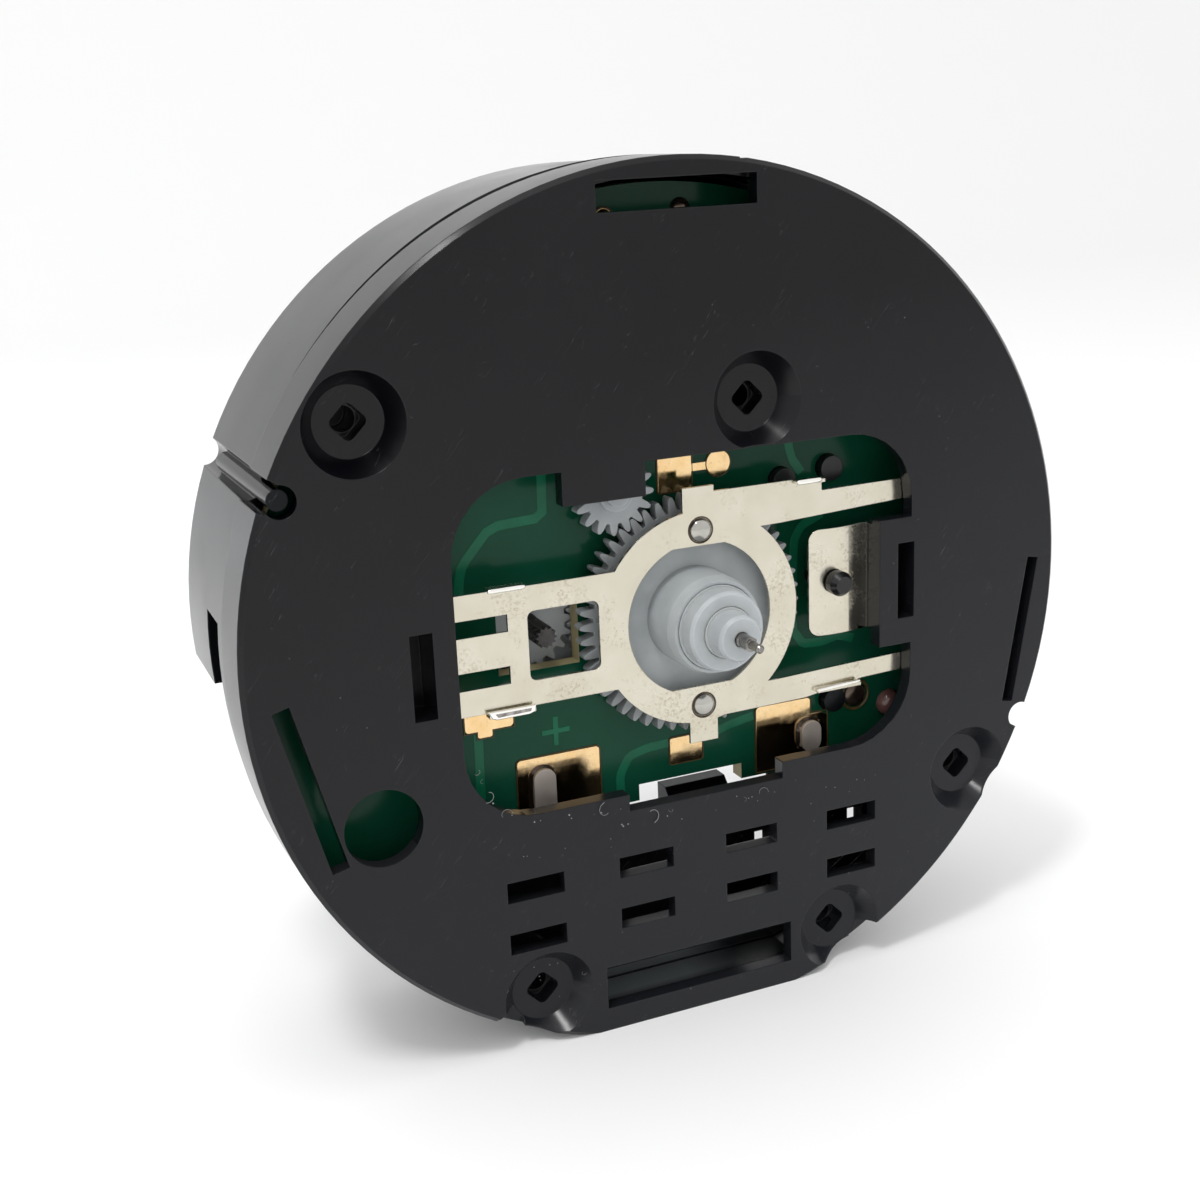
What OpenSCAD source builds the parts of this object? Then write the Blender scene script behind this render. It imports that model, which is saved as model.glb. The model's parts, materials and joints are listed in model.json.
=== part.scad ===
// Round quartz movement with an alarm, built as its separate pieces.
// Millimetres. +Z is up and +Y runs into the movement from its dial side.
// The origin is on the hand axis, level with the front face of the plate.

/* [Case] */
// Radius of the front rim
rim_r = 37.5; // [37.2:0.1:39]
// Sideways place of the rim's centre, seen from the hand axis
rim_x = -1.8; // [-2:0.1:-1.6]
// Height of the rim's centre, seen from the hand axis
rim_z = 0.4; // [0.2:0.1:0.6]
// Distance from the rim's centre down to the flat at the bottom
flat_drop = 35.8; // [35.6:0.1:36.2]
// Depth of the whole case
case_depth = 22.65; // [22.5:0.05:24]
// Thickness of the front plate
plate_t = 1.4; // [1.2:0.1:1.5]
// Thickness of the side walls and the rear wall
wall_t = 1.4; // [1.2:0.1:1.5]
// Depth of the plate's own skirt, down to the seam
skirt_depth = 6.0; // [5.8:0.1:6.4]
// Step in radius from the skirt to the rear housing at the seam
seam_step = 0.2; // [0.1:0.05:0.4]
// Loss of radius along the rear housing, for its draft
draft = 0.4; // [0:0.1:0.6]
// Chamfer round the plate's front edge
rim_edge = 0.4; // [0.2:0.1:0.6]

/* [Front window] */
// Distance from the hand axis to the window's left edge
window_left = 22.2; // [21.8:0.1:22.4]
// Distance from the hand axis to the window's right edge
window_right = 20.1; // [19.8:0.1:20.4]
// Distance from the hand axis to the window's top edge
window_top = 14.3; // [14:0.1:14.6]
// Distance from the hand axis to the window's bottom edge
window_bottom = 13.9; // [13.6:0.1:14.2]
// Corner radius of the window
window_corner = 6.2; // [5:0.1:7]
// Drop of the wide notch in the window's bottom edge
window_notch = 1.5; // [1:0.1:1.8]

/* [Slots and small windows] */
// Length of each of the eight small slots
slot_w = 5.1; // [4.5:0.1:5.6]
// Height of each of the eight small slots
slot_h = 1.85; // [1.5:0.05:2.2]
// Distance between slots in a row
slot_pitch = 10.2; // [9.8:0.1:10.4]
// Width of the bottom window
low_window_w = 18.2; // [16:0.1:18.6]
// Height of the bottom window
low_window_h = 3.9; // [3:0.1:4]
// Width of the top window
top_window_w = 14; // [10:0.5:15]
// Radius of the round hole at the left
round_hole_r = 3.25; // [3:0.05:3.4]
// Width of the long slot at the left
long_slot_w = 1.45; // [1.2:0.05:1.6]
// Width of the long slot at the right
right_slot_w = 1.15; // [1:0.05:1.3]

/* [Fixing bosses] */
// Outer radius of the conical recess
recess_r = 4.05; // [3.8:0.05:4.2]
// Depth of the conical recess
recess_depth = 1.8; // [1.5:0.1:1.9]
// Radius of the flat floor of the recess
floor_r = 2.8; // [2.7:0.05:3]
// Side of the square socket in the floor
socket_w = 2.3; // [2.1:0.05:2.4]
// Depth of the square socket, from the floor
socket_depth = 1.7; // [1.5:0.1:1.8]
// Radius of the round bore below the socket
fix_bore_r = 1.0; // [0.9:0.05:1.1]
// Depth of the round bore below the socket
fix_bore_depth = 3.0; // [2.6:0.1:3]
// Radius of the boss behind the plate
boss_r = 2.9; // [2.7:0.1:3]

/* [Hand pipes] */
// Radius of the alarm hand's seat
alarm_seat_r = 4.2; // [4.1:0.05:4.4]
// Reach of the alarm pipe in front of the plate
alarm_reach = 1.6; // [1.4:0.1:1.8]
// Radius of the hour hand's seat
hour_seat_r = 3.4; // [3.3:0.05:3.5]
// Reach of the hour pipe in front of the plate
hour_reach = 3.4; // [3.2:0.1:3.8]
// Radius of the minute hand's seat
minute_seat_r = 1.95; // [1.8:0.05:2]
// Reach of the minute pipe in front of the plate
minute_reach = 5.7; // [5.4:0.1:6.2]
// Radius of the seconds arbor
seconds_r = 0.6; // [0.55:0.05:0.7]
// Radius of the seconds hand's seat
seconds_seat_r = 0.36; // [0.3:0.02:0.42]
// Reach of the seconds arbor in front of the plate
seconds_reach = 8.9; // [8.6:0.1:9.4]
// Radial clearance of every running fit
run_gap = 0.05; // [0.03:0.01:0.06]

/* [Gears] */
// Distance from the hand axis to the alarm setting wheel
alarm_d = 13.2; // [13.1:0.05:13.4]
// Distance from the hand axis to the motion wheel
motion_d = 13.6; // [13.4:0.05:13.7]
// Distance from the hand axis to the third wheel
third_d = 7.6; // [7.55:0.05:7.7]
// Distance from the hand axis to the intermediate wheel
inter_d = 7.8; // [7.75:0.05:7.9]
// Distance from the intermediate wheel to the rotor
rotor_d = 6.3; // [6.2:0.05:6.4]
// Thickness of the alarm wheel
alarm_wheel_t = 1.2; // [1:0.1:1.3]
// Thickness of the hour, motion and minute wheels
wheel_t = 0.8; // [0.7:0.05:0.9]
// Thickness of the fine wheels behind the bridge
fine_wheel_t = 0.6; // [0.5:0.05:0.7]
// Radius of the plain arbors of the fine train
pivot_r = 0.45; // [0.4:0.05:0.5]
// Radius of the setting arbor and the alarm arbor
stem_r = 1.0; // [0.9:0.05:1.1]

/* [Springs and board] */
// Thickness of the spring bracket and the leaf
spring_t = 0.3; // [0.25:0.05:0.35]
// Outer radius of the bracket's ring
ring_r = 9.3; // [9.1:0.1:9.5]
// Radius of the hole in the bracket's ring
ring_hole_r = 6.7; // [6.5:0.1:6.9]
// Depth from the face to the front of the circuit board
board_y = 5.2; // [5.1:0.05:5.4]
// Thickness of the circuit board
board_t = 1.6; // [1.5:0.05:1.6]
// Thickness of the pads on the board
pad_t = 0.1; // [0.06:0.02:0.14]

/* [Battery bay] */
// Radius of the cell
cell_r = 7.25; // [7:0.05:7.5]
// Length of the cell
cell_l = 50.5; // [49:0.1:50.5]
// Distance from the hand axis down to the cell's axis
cell_drop = 18.6; // [18.5:0.05:18.7]
// Room round the cell in its bay
cell_gap = 0.45; // [0.4:0.05:0.5]
// Thickness of the bay's walls
bay_wall = 1.2; // [1.1:0.05:1.3]
// Thickness of the bay's front wall where it is thinnest
bay_skin = 0.35; // [0.3:0.05:0.5]
// Room between the board and the bay
bay_room = 0.55; // [0.5:0.05:0.7]
// Thickness of the contact strips
contact_t = 0.3; // [0.25:0.05:0.35]
// Room for the contacts at each end of the cell
contact_room = 2.6; // [2.5:0.1:2.8]

/* [Rear controls] */
// Radius of the time setting knob
time_knob_r = 5.6; // [5:0.1:6]
// Radius of the alarm setting knob
alarm_knob_r = 4.6; // [4:0.1:5]
// Height of the knobs above the rear wall
knob_h = 3.2; // [2.5:0.1:4]
// Travel of the alarm switch
switch_travel = 3.5; // [3:0.1:3.5]

/* [Hidden] */
$fn = 64;
small = 0.01;

black = "#26282b";
black_rear = "#3a3e42";
nickel = "#d8d2bf";
steel = "#8f8f90";
white_plastic = "#e6e9ec";
brass = "#c9a25a";

rim_c = [rim_x, rim_z];
flat_z = rim_z - flat_drop;
seam_r = rim_r - seam_step;
board_back = board_y + board_t;

// The bay stands behind the board and takes its depth from the cell.
cell_z = -cell_drop;
bay_r = cell_r + cell_gap;
bay_front = board_back + bay_room;
cell_y = bay_front + bay_skin + bay_r;
strip_y = bay_front - contact_t - 0.05;
rear_in_y = case_depth - wall_t;
bay_rear = case_depth - cell_r / 2;

// Depths of the layers behind the face. The fine train shares out the room behind the bridge.
bracket_y = plate_t + 0.1;
leaf_y = bracket_y + 0.35;
alarm_wheel_y = 3.1;
hour_wheel_y = board_back + 0.4;
motion_wheel_y = hour_wheel_y + wheel_t + 0.5;
bridge_t = 1.0;
bridge_y = motion_wheel_y + wheel_t + 0.7;
bridge_back = bridge_y + bridge_t;
rotor_t = 1.6;
rear_room = 1.05;
train_room = rear_in_y - rear_room - bridge_t - bridge_back - wheel_t - 3 * fine_wheel_t - rotor_t;
layer_gap = train_room / 40;
minute_gear_y = bridge_back + 4 * layer_gap;
third_wheel_y = minute_gear_y + wheel_t + 6 * layer_gap;
seconds_wheel_y = third_wheel_y + fine_wheel_t + 8 * layer_gap;
inter_wheel_y = seconds_wheel_y + fine_wheel_t + 8 * layer_gap;
rotor_y = inter_wheel_y + fine_wheel_t + 9 * layer_gap;
back_bridge_y = rotor_y + rotor_t + 5 * layer_gap;
back_bridge_back = back_bridge_y + bridge_t;

function polar(d, a) = [d * cos(a), d * sin(a)];

// Places of the arbors, each a distance and an angle from its neighbour.
alarm_angle = 121;
motion_angle = 179.2;
third_angle = 60;
inter_angle = -23.8;
rotor_angle = 32.1;
hand_c = [0, 0];
alarm_c = polar(alarm_d, alarm_angle);
motion_c = polar(motion_d, motion_angle);
third_c = polar(third_d, third_angle);
inter_c = polar(inter_d, inter_angle);
rotor_c = inter_c + polar(rotor_d, rotor_angle);

// Tooth counts, and the modules that fill the centre distances.
alarm_z = 50;
alarm_set_z = 16;
minute_pinion_z = 12;
motion_z = 60;
motion_pinion_z = 20;
hour_z = 48;
minute_z = 64;
third_z = 60;
seconds_z = 40;
inter_z = 36;
leaf_z = 8;
rotor_z = 6;
alarm_m = 2 * alarm_d / (alarm_z + alarm_set_z);
minute_m = 2 * motion_d / (minute_pinion_z + motion_z);
hour_m = 2 * motion_d / (motion_pinion_z + hour_z);
third_m = 2 * third_d / (leaf_z + third_z);
centre_m = 2 * third_d / (leaf_z + minute_z);
inter_m = 2 * inter_d / (leaf_z + seconds_z);
rotor_m = 2 * rotor_d / (rotor_z + inter_z);

// Pipes nest round the seconds arbor with one running gap each.
pipe_step = 0.2;
hour_run_r = hour_seat_r + pipe_step;
minute_run_r = minute_seat_r + pipe_step;
alarm_bore_r = hour_run_r + run_gap;
hour_bore_r = minute_run_r + run_gap;
minute_bore_r = seconds_r + run_gap;

// Place at an angle round the rim's centre, a distance in from the rim.
function near_rim(angle, inset) = rim_c + polar(rim_r - inset, angle);

// Fixing bosses: four near the rim and one above the window.
bosses = [near_rim(144.4, 4.17), [4.97, 18.15], near_rim(245.5, 3.31), near_rim(-65.4, 2.84),
    near_rim(-33.7, 3.5)];
// Case screws enter from the rear into pillars of the plate.
case_pillars = [near_rim(126.7, 6.2), near_rim(46.6, 4.32), near_rim(-14.5, 4.5)];
pillar_r = 2.4;
screw_r = 0.9;
screw_head_r = 1.7;
screw_head_t = 1.0;
pillar_gap = 0.4;
// Bridge screws enter from the rear into pillars of the front bridge.
bridge_pillars = [[15.5, 9], [16.5, -6.6], [-9, -6]];
bridge_pillar_r = 1.5;
// Pegs that carry the board, two on the front bridge and one on the battery bay.
bridge_pegs = [[14.68, 10.61], [9.91, 10.03]];
bay_peg = [14.89, -10.94];
peg_r = 1.1;
peg_foot_r = 1.8;
peg_reach = 0.9;
peg_gap = 0.1;

bay_x0 = rim_x - cell_l / 2 - contact_room;
bay_x1 = rim_x + cell_l / 2 + contact_room;
shoulder_z = -2.5;
ledge_y = 8.7;
lower_rear = 13.4;
lower_step = 1.3;

// Extrudes a drawing of the X-Z plane from depth y0 over t into the movement.
module slab(y0, t) {
    translate([0, y0 + t, 0]) rotate([90, 0, 0]) linear_extrude(t) children();
}

// Round rod along Y from depth y0 to y1 at place c.
module rod(c, r, y0, y1) {
    translate([c[0], y1, c[1]]) rotate([90, 0, 0]) cylinder(h = y1 - y0, r = r);
}

// Cone along Y: radius r0 at depth y0 and r1 at depth y1.
module cone(c, r0, r1, y0, y1) {
    translate([c[0], y1, c[1]]) rotate([90, 0, 0]) cylinder(h = y1 - y0, r1 = r1, r2 = r0);
}

module tube(c, r, bore, y0, y1) {
    difference() {
        rod(c, r, y0, y1);
        rod(c, bore, y0 - 1, y1 + 1);
    }
}

// Box from its low corner to its high corner.
module block(a, b) {
    translate(a) cube(b - a);
}

function arc(c, r, a0, a1, n) = [for (i = [0:n]) c + polar(r, a0 + (a1 - a0) * i / n)];

// Rectangle with round corners, drawn from its four edges.
module round_rect(x0, x1, z0, z1, r) {
    polygon(concat(arc([x1 - r, z1 - r], r, 0, 90, 8), arc([x0 + r, z1 - r], r, 90, 180, 8),
        arc([x0 + r, z0 + r], r, 180, 270, 8), arc([x1 - r, z0 + r], r, 270, 360, 8)));
}

// Bar between two points with square ends.
module bar2d(a, b, w) {
    d = b - a;
    translate(a) rotate(atan2(d[1], d[0])) translate([0, -w / 2]) square([norm(d), w]);
}

// Tooth outline: radius and half angle of each point, for one tooth of z.
function tooth(z, m, add, ded, i, phase) = let (a = phase + i * 360 / z, h = 180 / z)
    [for (p = [[z / 2 - ded, -0.72], [z / 2, -0.44], [z / 2 + add - 0.22, -0.24], [z / 2 + add, 0],
        [z / 2 + add - 0.22, 0.24], [z / 2, 0.44], [z / 2 - ded, 0.72]])
        polar(p[0] * m, a + p[1] * h)];

function plain_tooth(z, m, add, ded, i, phase) = let (a = phase + i * 360 / z, h = 180 / z)
    [for (p = [[z / 2 - ded, -0.66], [z / 2 + add, -0.2], [z / 2 + add, 0.2], [z / 2 - ded, 0.66]])
        polar(p[0] * m, a + p[1] * h)];

// Wheel with round-tipped teeth, one tooth at angle phase.
module gear2d(z, m, phase, add = 1.0, ded = 1.5) {
    polygon([for (i = [0:z - 1]) each tooth(z, m, add, ded, i, phase)]);
}

// Wheel with plain teeth, for the hidden trains.
module plain_gear2d(z, m, phase, add = 0.7, ded = 1.1) {
    polygon([for (i = [0:z - 1]) each plain_tooth(z, m, add, ded, i, phase)]);
}

// A gap of the second wheel faces the first, whose tooth points along the line of centres.
function gap_phase(a, z) = a + 180 + 180 / z;

module at(c) {
    translate(c) children();
}

module rim2d(r) {
    intersection() {
        at(rim_c) circle(r, $fn = 200);
        translate([rim_x - 50, flat_z + rim_r - r]) square(100);
    }
}

module front_window2d() {
    difference() {
        union() {
            round_rect(-window_left, window_right, -window_bottom, window_top, window_corner);
            translate([-7.9, -window_bottom - window_notch]) square([14.8, window_notch + 2]);
        }
        translate([-12.65, 11.5]) square([7.25, window_top]);
        translate([16.85, -5.05]) square([window_right, 11.45]);
    }
}

module small_openings2d() {
    for (i = [0:3])
        for (z = [-20.4, -25.1])
            translate([-16.7 + i * slot_pitch - slot_w / 2, z - slot_h / 2]) square([slot_w, slot_h]);
    translate([-1.55 - low_window_w / 2, flat_z + 6 - low_window_h]) square([low_window_w, low_window_h]);
    translate([-1.78 - top_window_w / 2, rim_z + rim_r - 4.05]) square([top_window_w, 2.4]);
    at(near_rim(204.95, 7.28)) circle(round_hole_r);
    bar2d(near_rim(182.6, 2.81), near_rim(206.6, 2.71), long_slot_w);
    bar2d(near_rim(0.8, 2.45), near_rim(-21.7, 2.4), right_slot_w);
    for (w = clip_windows)
        translate([w[0], w[2]]) square([w[1] - w[0], w[3] - w[2]]);
}

key_angle = 156.6;
key_r = 1.3;
rib_r = 0.85;
key_c = near_rim(key_angle, 0.15);
rib_c = near_rim(key_angle, 1.35);

// Half-round key groove down the left side.
module rim_cuts(y0, y1) {
    rod(key_c, key_r, y0, y1);
}

// Two clip windows beside the big one, with a closed pocket behind each: left, right, low, high.
clip_windows = [[-26, -24.1, -4.1, 3], [18.7, 20.4, -2.7, 4.15]];
pocket_depth = 3.0;
pocket_wall = 0.8;

module clip_pockets() {
    for (w = clip_windows)
        difference() {
            block([w[0] - pocket_wall, plate_t - small, w[2] - pocket_wall],
                [w[1] + pocket_wall, plate_t + pocket_depth, w[3] + pocket_wall]);
            block([w[0], plate_t - 1, w[2]], [w[1], plate_t + pocket_depth - pocket_wall, w[3]]);
        }
}

module front_plate() color(black) {
    difference() {
        intersection() {
            union() {
                slab(0, plate_t) rim2d(rim_r);
                slab(0, skirt_depth) difference() {
                    rim2d(rim_r);
                    rim2d(rim_r - wall_t);
                }
                slab(0, boss_end) intersection() {
                    rim2d(seam_r - wall_t - 0.15);
                    for (c = bosses)
                        at(c) circle(boss_r);
                }
                slab(plate_t - small, recess_depth + recess_wall - plate_t) intersection() {
                    rim2d(rim_r - wall_t / 2);
                    for (c = bosses)
                        at(c) circle(recess_r);
                }
                block([leaf_x1 - 0.9, plate_t - small, leaf_low], [leaf_x1 + 0.2, leaf_y + leaf_rise, leaf_high]);
                clip_pockets();
                for (c = case_pillars)
                    rod(c, pillar_r, plate_t - small, case_screw_seat);
            }
            union() {
                cone(rim_c, rim_r - rim_edge, rim_r, 0, rim_edge);
                rod(rim_c, rim_r + 1, rim_edge, case_depth);
            }
        }
        slab(-1, plate_t + 1.5) front_window2d();
        slab(-1, plate_t + 1 + small) small_openings2d();
        for (c = bosses) {
            cone(c, recess_r + 0.75, floor_r, -1, recess_depth);
            slab(0, socket_y) at(c) rotate(45) round_rect(-socket_w / 2, socket_w / 2,
                -socket_w / 2, socket_w / 2, socket_corner);
            rod(c, fix_bore_r, 0, socket_y + fix_bore_depth);
        }
        for (c = case_pillars)
            rod(c, screw_r, case_screw_seat - 7, case_screw_seat + 1);
        rim_cuts(-1, skirt_depth + 1);
        rod(rib_c, rib_r + 0.45, -1, skirt_depth + 1);
        rod(near_rim(-23.2, 0.41), 1.25, -1, skirt_depth + 1);
        block([3.9, -1, rim_z + rim_r - 0.55], [5.3, skirt_depth + 1, rim_z + rim_r + 1]);
        for (c = [bosses[2], bosses[3]])
            rod([c[0] + (c[0] > 0 ? 3.6 : -3.6), c[1] - 2.2], 1.6, -1, plate_t + 0.3);
    }
}
recess_wall = 1.0;
socket_corner = 0.5;
socket_y = recess_depth + socket_depth;
boss_end = strip_y - 0.15;
case_screw_seat = 9.6;

// Depth of the rear face over a pillar: the part below the shoulders is shallower.
function rear_over(c) = c[1] < shoulder_z ? lower_rear : case_depth;
function head_seat(c) = rear_over(c) - wall_t - 0.2;

// Outline of the rear housing where it has its full depth.
module upper2d(inset) {
    intersection() {
        at(rim_c) circle(seam_r - inset, $fn = 200);
        union() {
            translate([-50, shoulder_z + inset]) square([100, 60]);
            translate([bay_x0 - bay_wall + inset, cell_z + bay_r + inset])
                square([bay_x1 - bay_x0 + 2 * (bay_wall - inset), 30]);
        }
    }
}

// Outline of the shallow part below the shoulders.
module lower2d(inset) {
    difference() {
        rim2d(seam_r - inset);
        translate([-50, shoulder_z + wall_t]) square([100, 60]);
    }
}

module rear_housing() color(black_rear) {
    difference() {
        intersection() {
            union() {
                difference() {
                    slab(skirt_depth, case_depth - skirt_depth) upper2d(0);
                    slab(skirt_depth - 1, rear_in_y - skirt_depth + 1) upper2d(wall_t);
                    slab(skirt_depth - 1, board_back + 0.3 - skirt_depth + 1) rim2d(seam_r - wall_t);
                }
                difference() {
                    union() {
                        slab(skirt_depth, ledge_y - skirt_depth) lower2d(0);
                        slab(skirt_depth, lower_rear - skirt_depth) lower2d(lower_step);
                    }
                    slab(skirt_depth - 1, ledge_y - wall_t - skirt_depth + 1) lower2d(wall_t);
                    slab(skirt_depth - 1, lower_rear - wall_t - skirt_depth + 1)
                        lower2d(lower_step + wall_t);
                    slab(skirt_depth - 1, lower_rear) upper2d(wall_t);
                }
                bay_body();
                housing_pillars();
                rod(bay_peg, peg_foot_r, board_back, wheel_room_y);
                rod(bay_peg, peg_r, board_y - peg_reach, board_back + small);
            }
            union() {
                cone(rim_c, seam_r, seam_r - draft, skirt_depth, case_depth);
                rod(rim_c, seam_r - wall_t, 0, skirt_depth + small);
            }
        }
        battery_space();
        wheel_room();
        side_opening();
        rim_cuts(skirt_depth - 1, case_depth + 1);
        rear_holes();
    }
    rod(rib_c, rib_r, 0.8, case_depth - 4);
    retaining_tab();
}

module bay_body() {
    block([bay_x0 - bay_wall, bay_front, cell_z - bay_r - bay_wall],
        [bay_x1 + bay_wall, bay_rear, cell_z + bay_r + bay_wall]);
}

// The bay and the shell above it leave a corner to the motion wheel and the hour wheel.
wheel_room_y = motion_wheel_y + wheel_t + 0.4;
wheel_room_x = [bay_x0 + 1, 9.5];
wheel_room_z = motion_c[1] - (motion_z / 2 + 0.7) * minute_m - 0.35;

module wheel_room() {
    block([wheel_room_x[0], board_back, wheel_room_z],
        [wheel_room_x[1], wheel_room_y, cell_z + bay_r + bay_wall + 1]);
}

// Tab at the rear of the bay's lower wall, which keeps the cell in.
tab_x = [5.4, 12.1];

module retaining_tab() {
    difference() {
        block([tab_x[0], bay_rear - 1.5, cell_z - bay_r - bay_wall + 0.4], [tab_x[1], case_depth, cell_z - 4.9]);
        translate([tab_x[0] - 1, cell_y, cell_z]) rotate([0, 90, 0])
            cylinder(h = tab_x[1] - tab_x[0] + 2, r = cell_r + 0.15);
    }
}

module housing_pillars() {
    for (c = case_pillars)
        rod(c, pillar_r, case_screw_seat, rear_over(c) - wall_t / 2);
    for (c = bridge_pillars)
        rod(c, screw_head_r + 0.9, back_bridge_back, case_depth - wall_t / 2);
}

// Room for the cell, open at the rear, with a notch for a fingertip at the lower right.
// Two gaps let light through from slots of the plate to the outside below the bay.
notch_x0 = 13.8;
light_gap_x = [8.0, 18.1];
light_gap_w = 1.7;

module battery_space() {
    translate([bay_x0, cell_y, cell_z]) rotate([0, 90, 0]) cylinder(h = bay_x1 - bay_x0, r = bay_r);
    block([bay_x0, cell_y, cell_z - bay_r], [bay_x1, case_depth + 1, cell_z + bay_r]);
    block([notch_x0, cell_y - 4.2, cell_z - bay_r - 4.4], [bay_x1 - 2, case_depth + 1, cell_z - bay_r + 2]);
    block([-5.2, bay_front - 1, cell_z - 4.2], [9.5, bay_front + 3, cell_z + 3.6]);
    for (x = light_gap_x) {
        block([x, bay_front - 1, cell_z - 6.6], [x + light_gap_w, bay_front + 1.8, cell_z - 4.8]);
        block([x + 0.4, bay_front + 1.6, cell_z - bay_r - bay_wall - 1],
            [x + light_gap_w + 4, cell_y - 0.4, cell_z - 5.4]);
    }
    for (x = [bay_x0, bay_x1 - contact_room])
        block([x, bay_front - 1, cell_z - 3.2], [x + contact_room, bay_front + 3, cell_z + 5.4]);
}

module side_opening() {
    block([rim_x - rim_r - 20, ledge_y, shoulder_z - 0.6], [rim_x - rim_r + 4.5, lower_rear, 3.9]);
}

switch_c = near_rim(65.35, 8);
switch_w = 3.6;
switch_l = 4.4;
switch_flange = 1.7;
sound_c = near_rim(93.66, 10.85);
bridge_head_seat = rear_in_y + 0.2;

module rear_holes() {
    for (c = case_pillars) {
        rod(c, pillar_r + 0.1, skirt_depth - 1, case_screw_seat);
        rod(c, screw_r + 0.2, case_screw_seat - 1, case_depth + 1);
        rod(c, screw_head_r + 0.2, head_seat(c), case_depth + 1);
    }
    for (c = bridge_pillars) {
        rod(c, screw_r + 0.2, back_bridge_back - 1, case_depth + 1);
        rod(c, screw_head_r + 0.2, bridge_head_seat, case_depth + 1);
    }
    for (c = [motion_c, alarm_c])
        rod(c, stem_r + 0.15, rear_in_y - 1, case_depth + 1);
    translate([switch_c[0] - switch_l / 2 - 0.3, rear_in_y - 1, switch_c[1] - switch_w / 2 - 0.2])
        cube([switch_l + switch_travel + 0.6, wall_t + 2, switch_w + 0.4]);
    rod(sound_c, 0.8, rear_in_y - 1, case_depth + 1);
    for (a = [0:60:300])
        rod(sound_c + polar(3, a), 0.8, rear_in_y - 1, case_depth + 1);
}

board_r = rim_r - wall_t - 0.7;
board_chord = 17;
board_left_drop = 3.6;
board_cut_x = [-4.6, 5.6];
board_cut_z = -15.5;

module board2d() {
    difference() {
        at(rim_c) circle(board_r, $fn = 160);
        translate([-20.6, -board_chord - 60]) square([100, 60]);
        translate([-50, -board_chord - board_left_drop - 60]) square([100, 60]);
        translate([board_cut_x[0], -board_chord - 1])
            square([board_cut_x[1] - board_cut_x[0], board_cut_z + board_chord + 1]);
        circle(hour_run_r + 0.22);
        translate([-17.0, -3.3]) square([7.3, 6.9]);
        at(alarm_c) circle(stem_r + 0.5);
        for (c = [bosses[0], bosses[1], bosses[4]])
            at(c) circle(boss_r + pillar_gap);
        for (c = case_pillars)
            at(c) circle(pillar_r + pillar_gap);
        for (c = concat(bridge_pegs, [bay_peg]))
            at(c) circle(peg_r + peg_gap);
        for (s = contact_tabs)
            translate([s[0] - s[2] / 2 - 0.2, s[1] - 1.2]) square([s[2] + 0.4, 2.4]);
        at(post_c) circle(post_r + 0.03);
        at(rib_c) circle(rib_r + 0.3);
    }
}

module circuit_board() color("#1d5b3e") {
    slab(board_y, board_t) board2d();
}

// Solder tabs of the two contacts: place, width and length on the board's face.
contact_tabs = [[-13.7, -14.3, 2.0, 4.6], [12.5, -14, 2.0, 2.9]];

module pad2d(x0, x1, z0, z1) {
    translate([x0, z0]) square([x1 - x0, z1 - z0]);
}

pad_corner = 0.35;

module board_pads() color(brass) {
    slab(board_y - pad_t, pad_t) difference() {
        union() {
            round_rect(-15.9, -8.3, -16.7, -11.1, pad_corner);
            round_rect(7.15, 12.75, -16.7, -10.5, pad_corner);
            round_rect(7.15, 14.5, -16.7, -12.1, pad_corner);
            round_rect(-20.3, -16.0, -7.8, -5.3, pad_corner);
            round_rect(-19.2, -17.9, -8.4, -7, 0.2);
            round_rect(-1.5, 1.65, -14.2, -11.8, 0.2);
            round_rect(-1.85, 1.3, 10.3, 13.5, 0.2);
            pad2d(1.2, 3, 11.8, 12.5);
            at([3.88, 12.25]) circle(1.13);
            at([-5.9, rim_z + rim_r - 4.7]) circle(0.75);
        }
        for (s = contact_tabs)
            translate([s[0] - s[2] / 2 - 0.2, s[1] - 1.2]) square([s[2] + 0.4, 2.4]);
        at(bay_peg) circle(peg_r + peg_gap + 0.3);
    }
}

// Spring bracket that presses on the alarm wheel: a ring with arms under the plate.
arm_reach_left = 22.9;
arm_reach_right = 23.4;

module bracket2d() {
    difference() {
        union() {
            circle(ring_r, $fn = 96);
            translate([-arm_reach_left, -5]) square([arm_reach_left - 4, 10.15]);
            polygon([[0, 7.1], [7.8, 7.2], [arm_reach_right, 7.9], [arm_reach_right, 9.6], [12, 9.5],
                [8.9, 10.75], [1.5, 10.75], [1.5, 11.28], [-1.4, 11.28], [-1.4, 8.5]]);
            polygon([[0, -6.7], [7.4, -6.75], [arm_reach_right, -6.3], [arm_reach_right, -7.9],
                [16, -8.1], [10.1, -8.95], [1.4, -9.05], [1.4, -11.1], [-1.25, -11.1], [-1.25, -8.5]]);
        }
        difference() {
            circle(ring_hole_r, $fn = 72);
            translate([-10, 6.25]) square([20, 5]);
            translate([-10, -11.05]) square([20, 5]);
        }
        translate([-arm_reach_left - 1, 1.6]) square([arm_reach_left - 16.3, 1.45]);
        translate([-arm_reach_left - 1, -2.8]) square([arm_reach_left - 16.3, 1.5]);
        round_rect(-15.6, -9.3, -2.9, 3, 0.6);
    }
}

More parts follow.
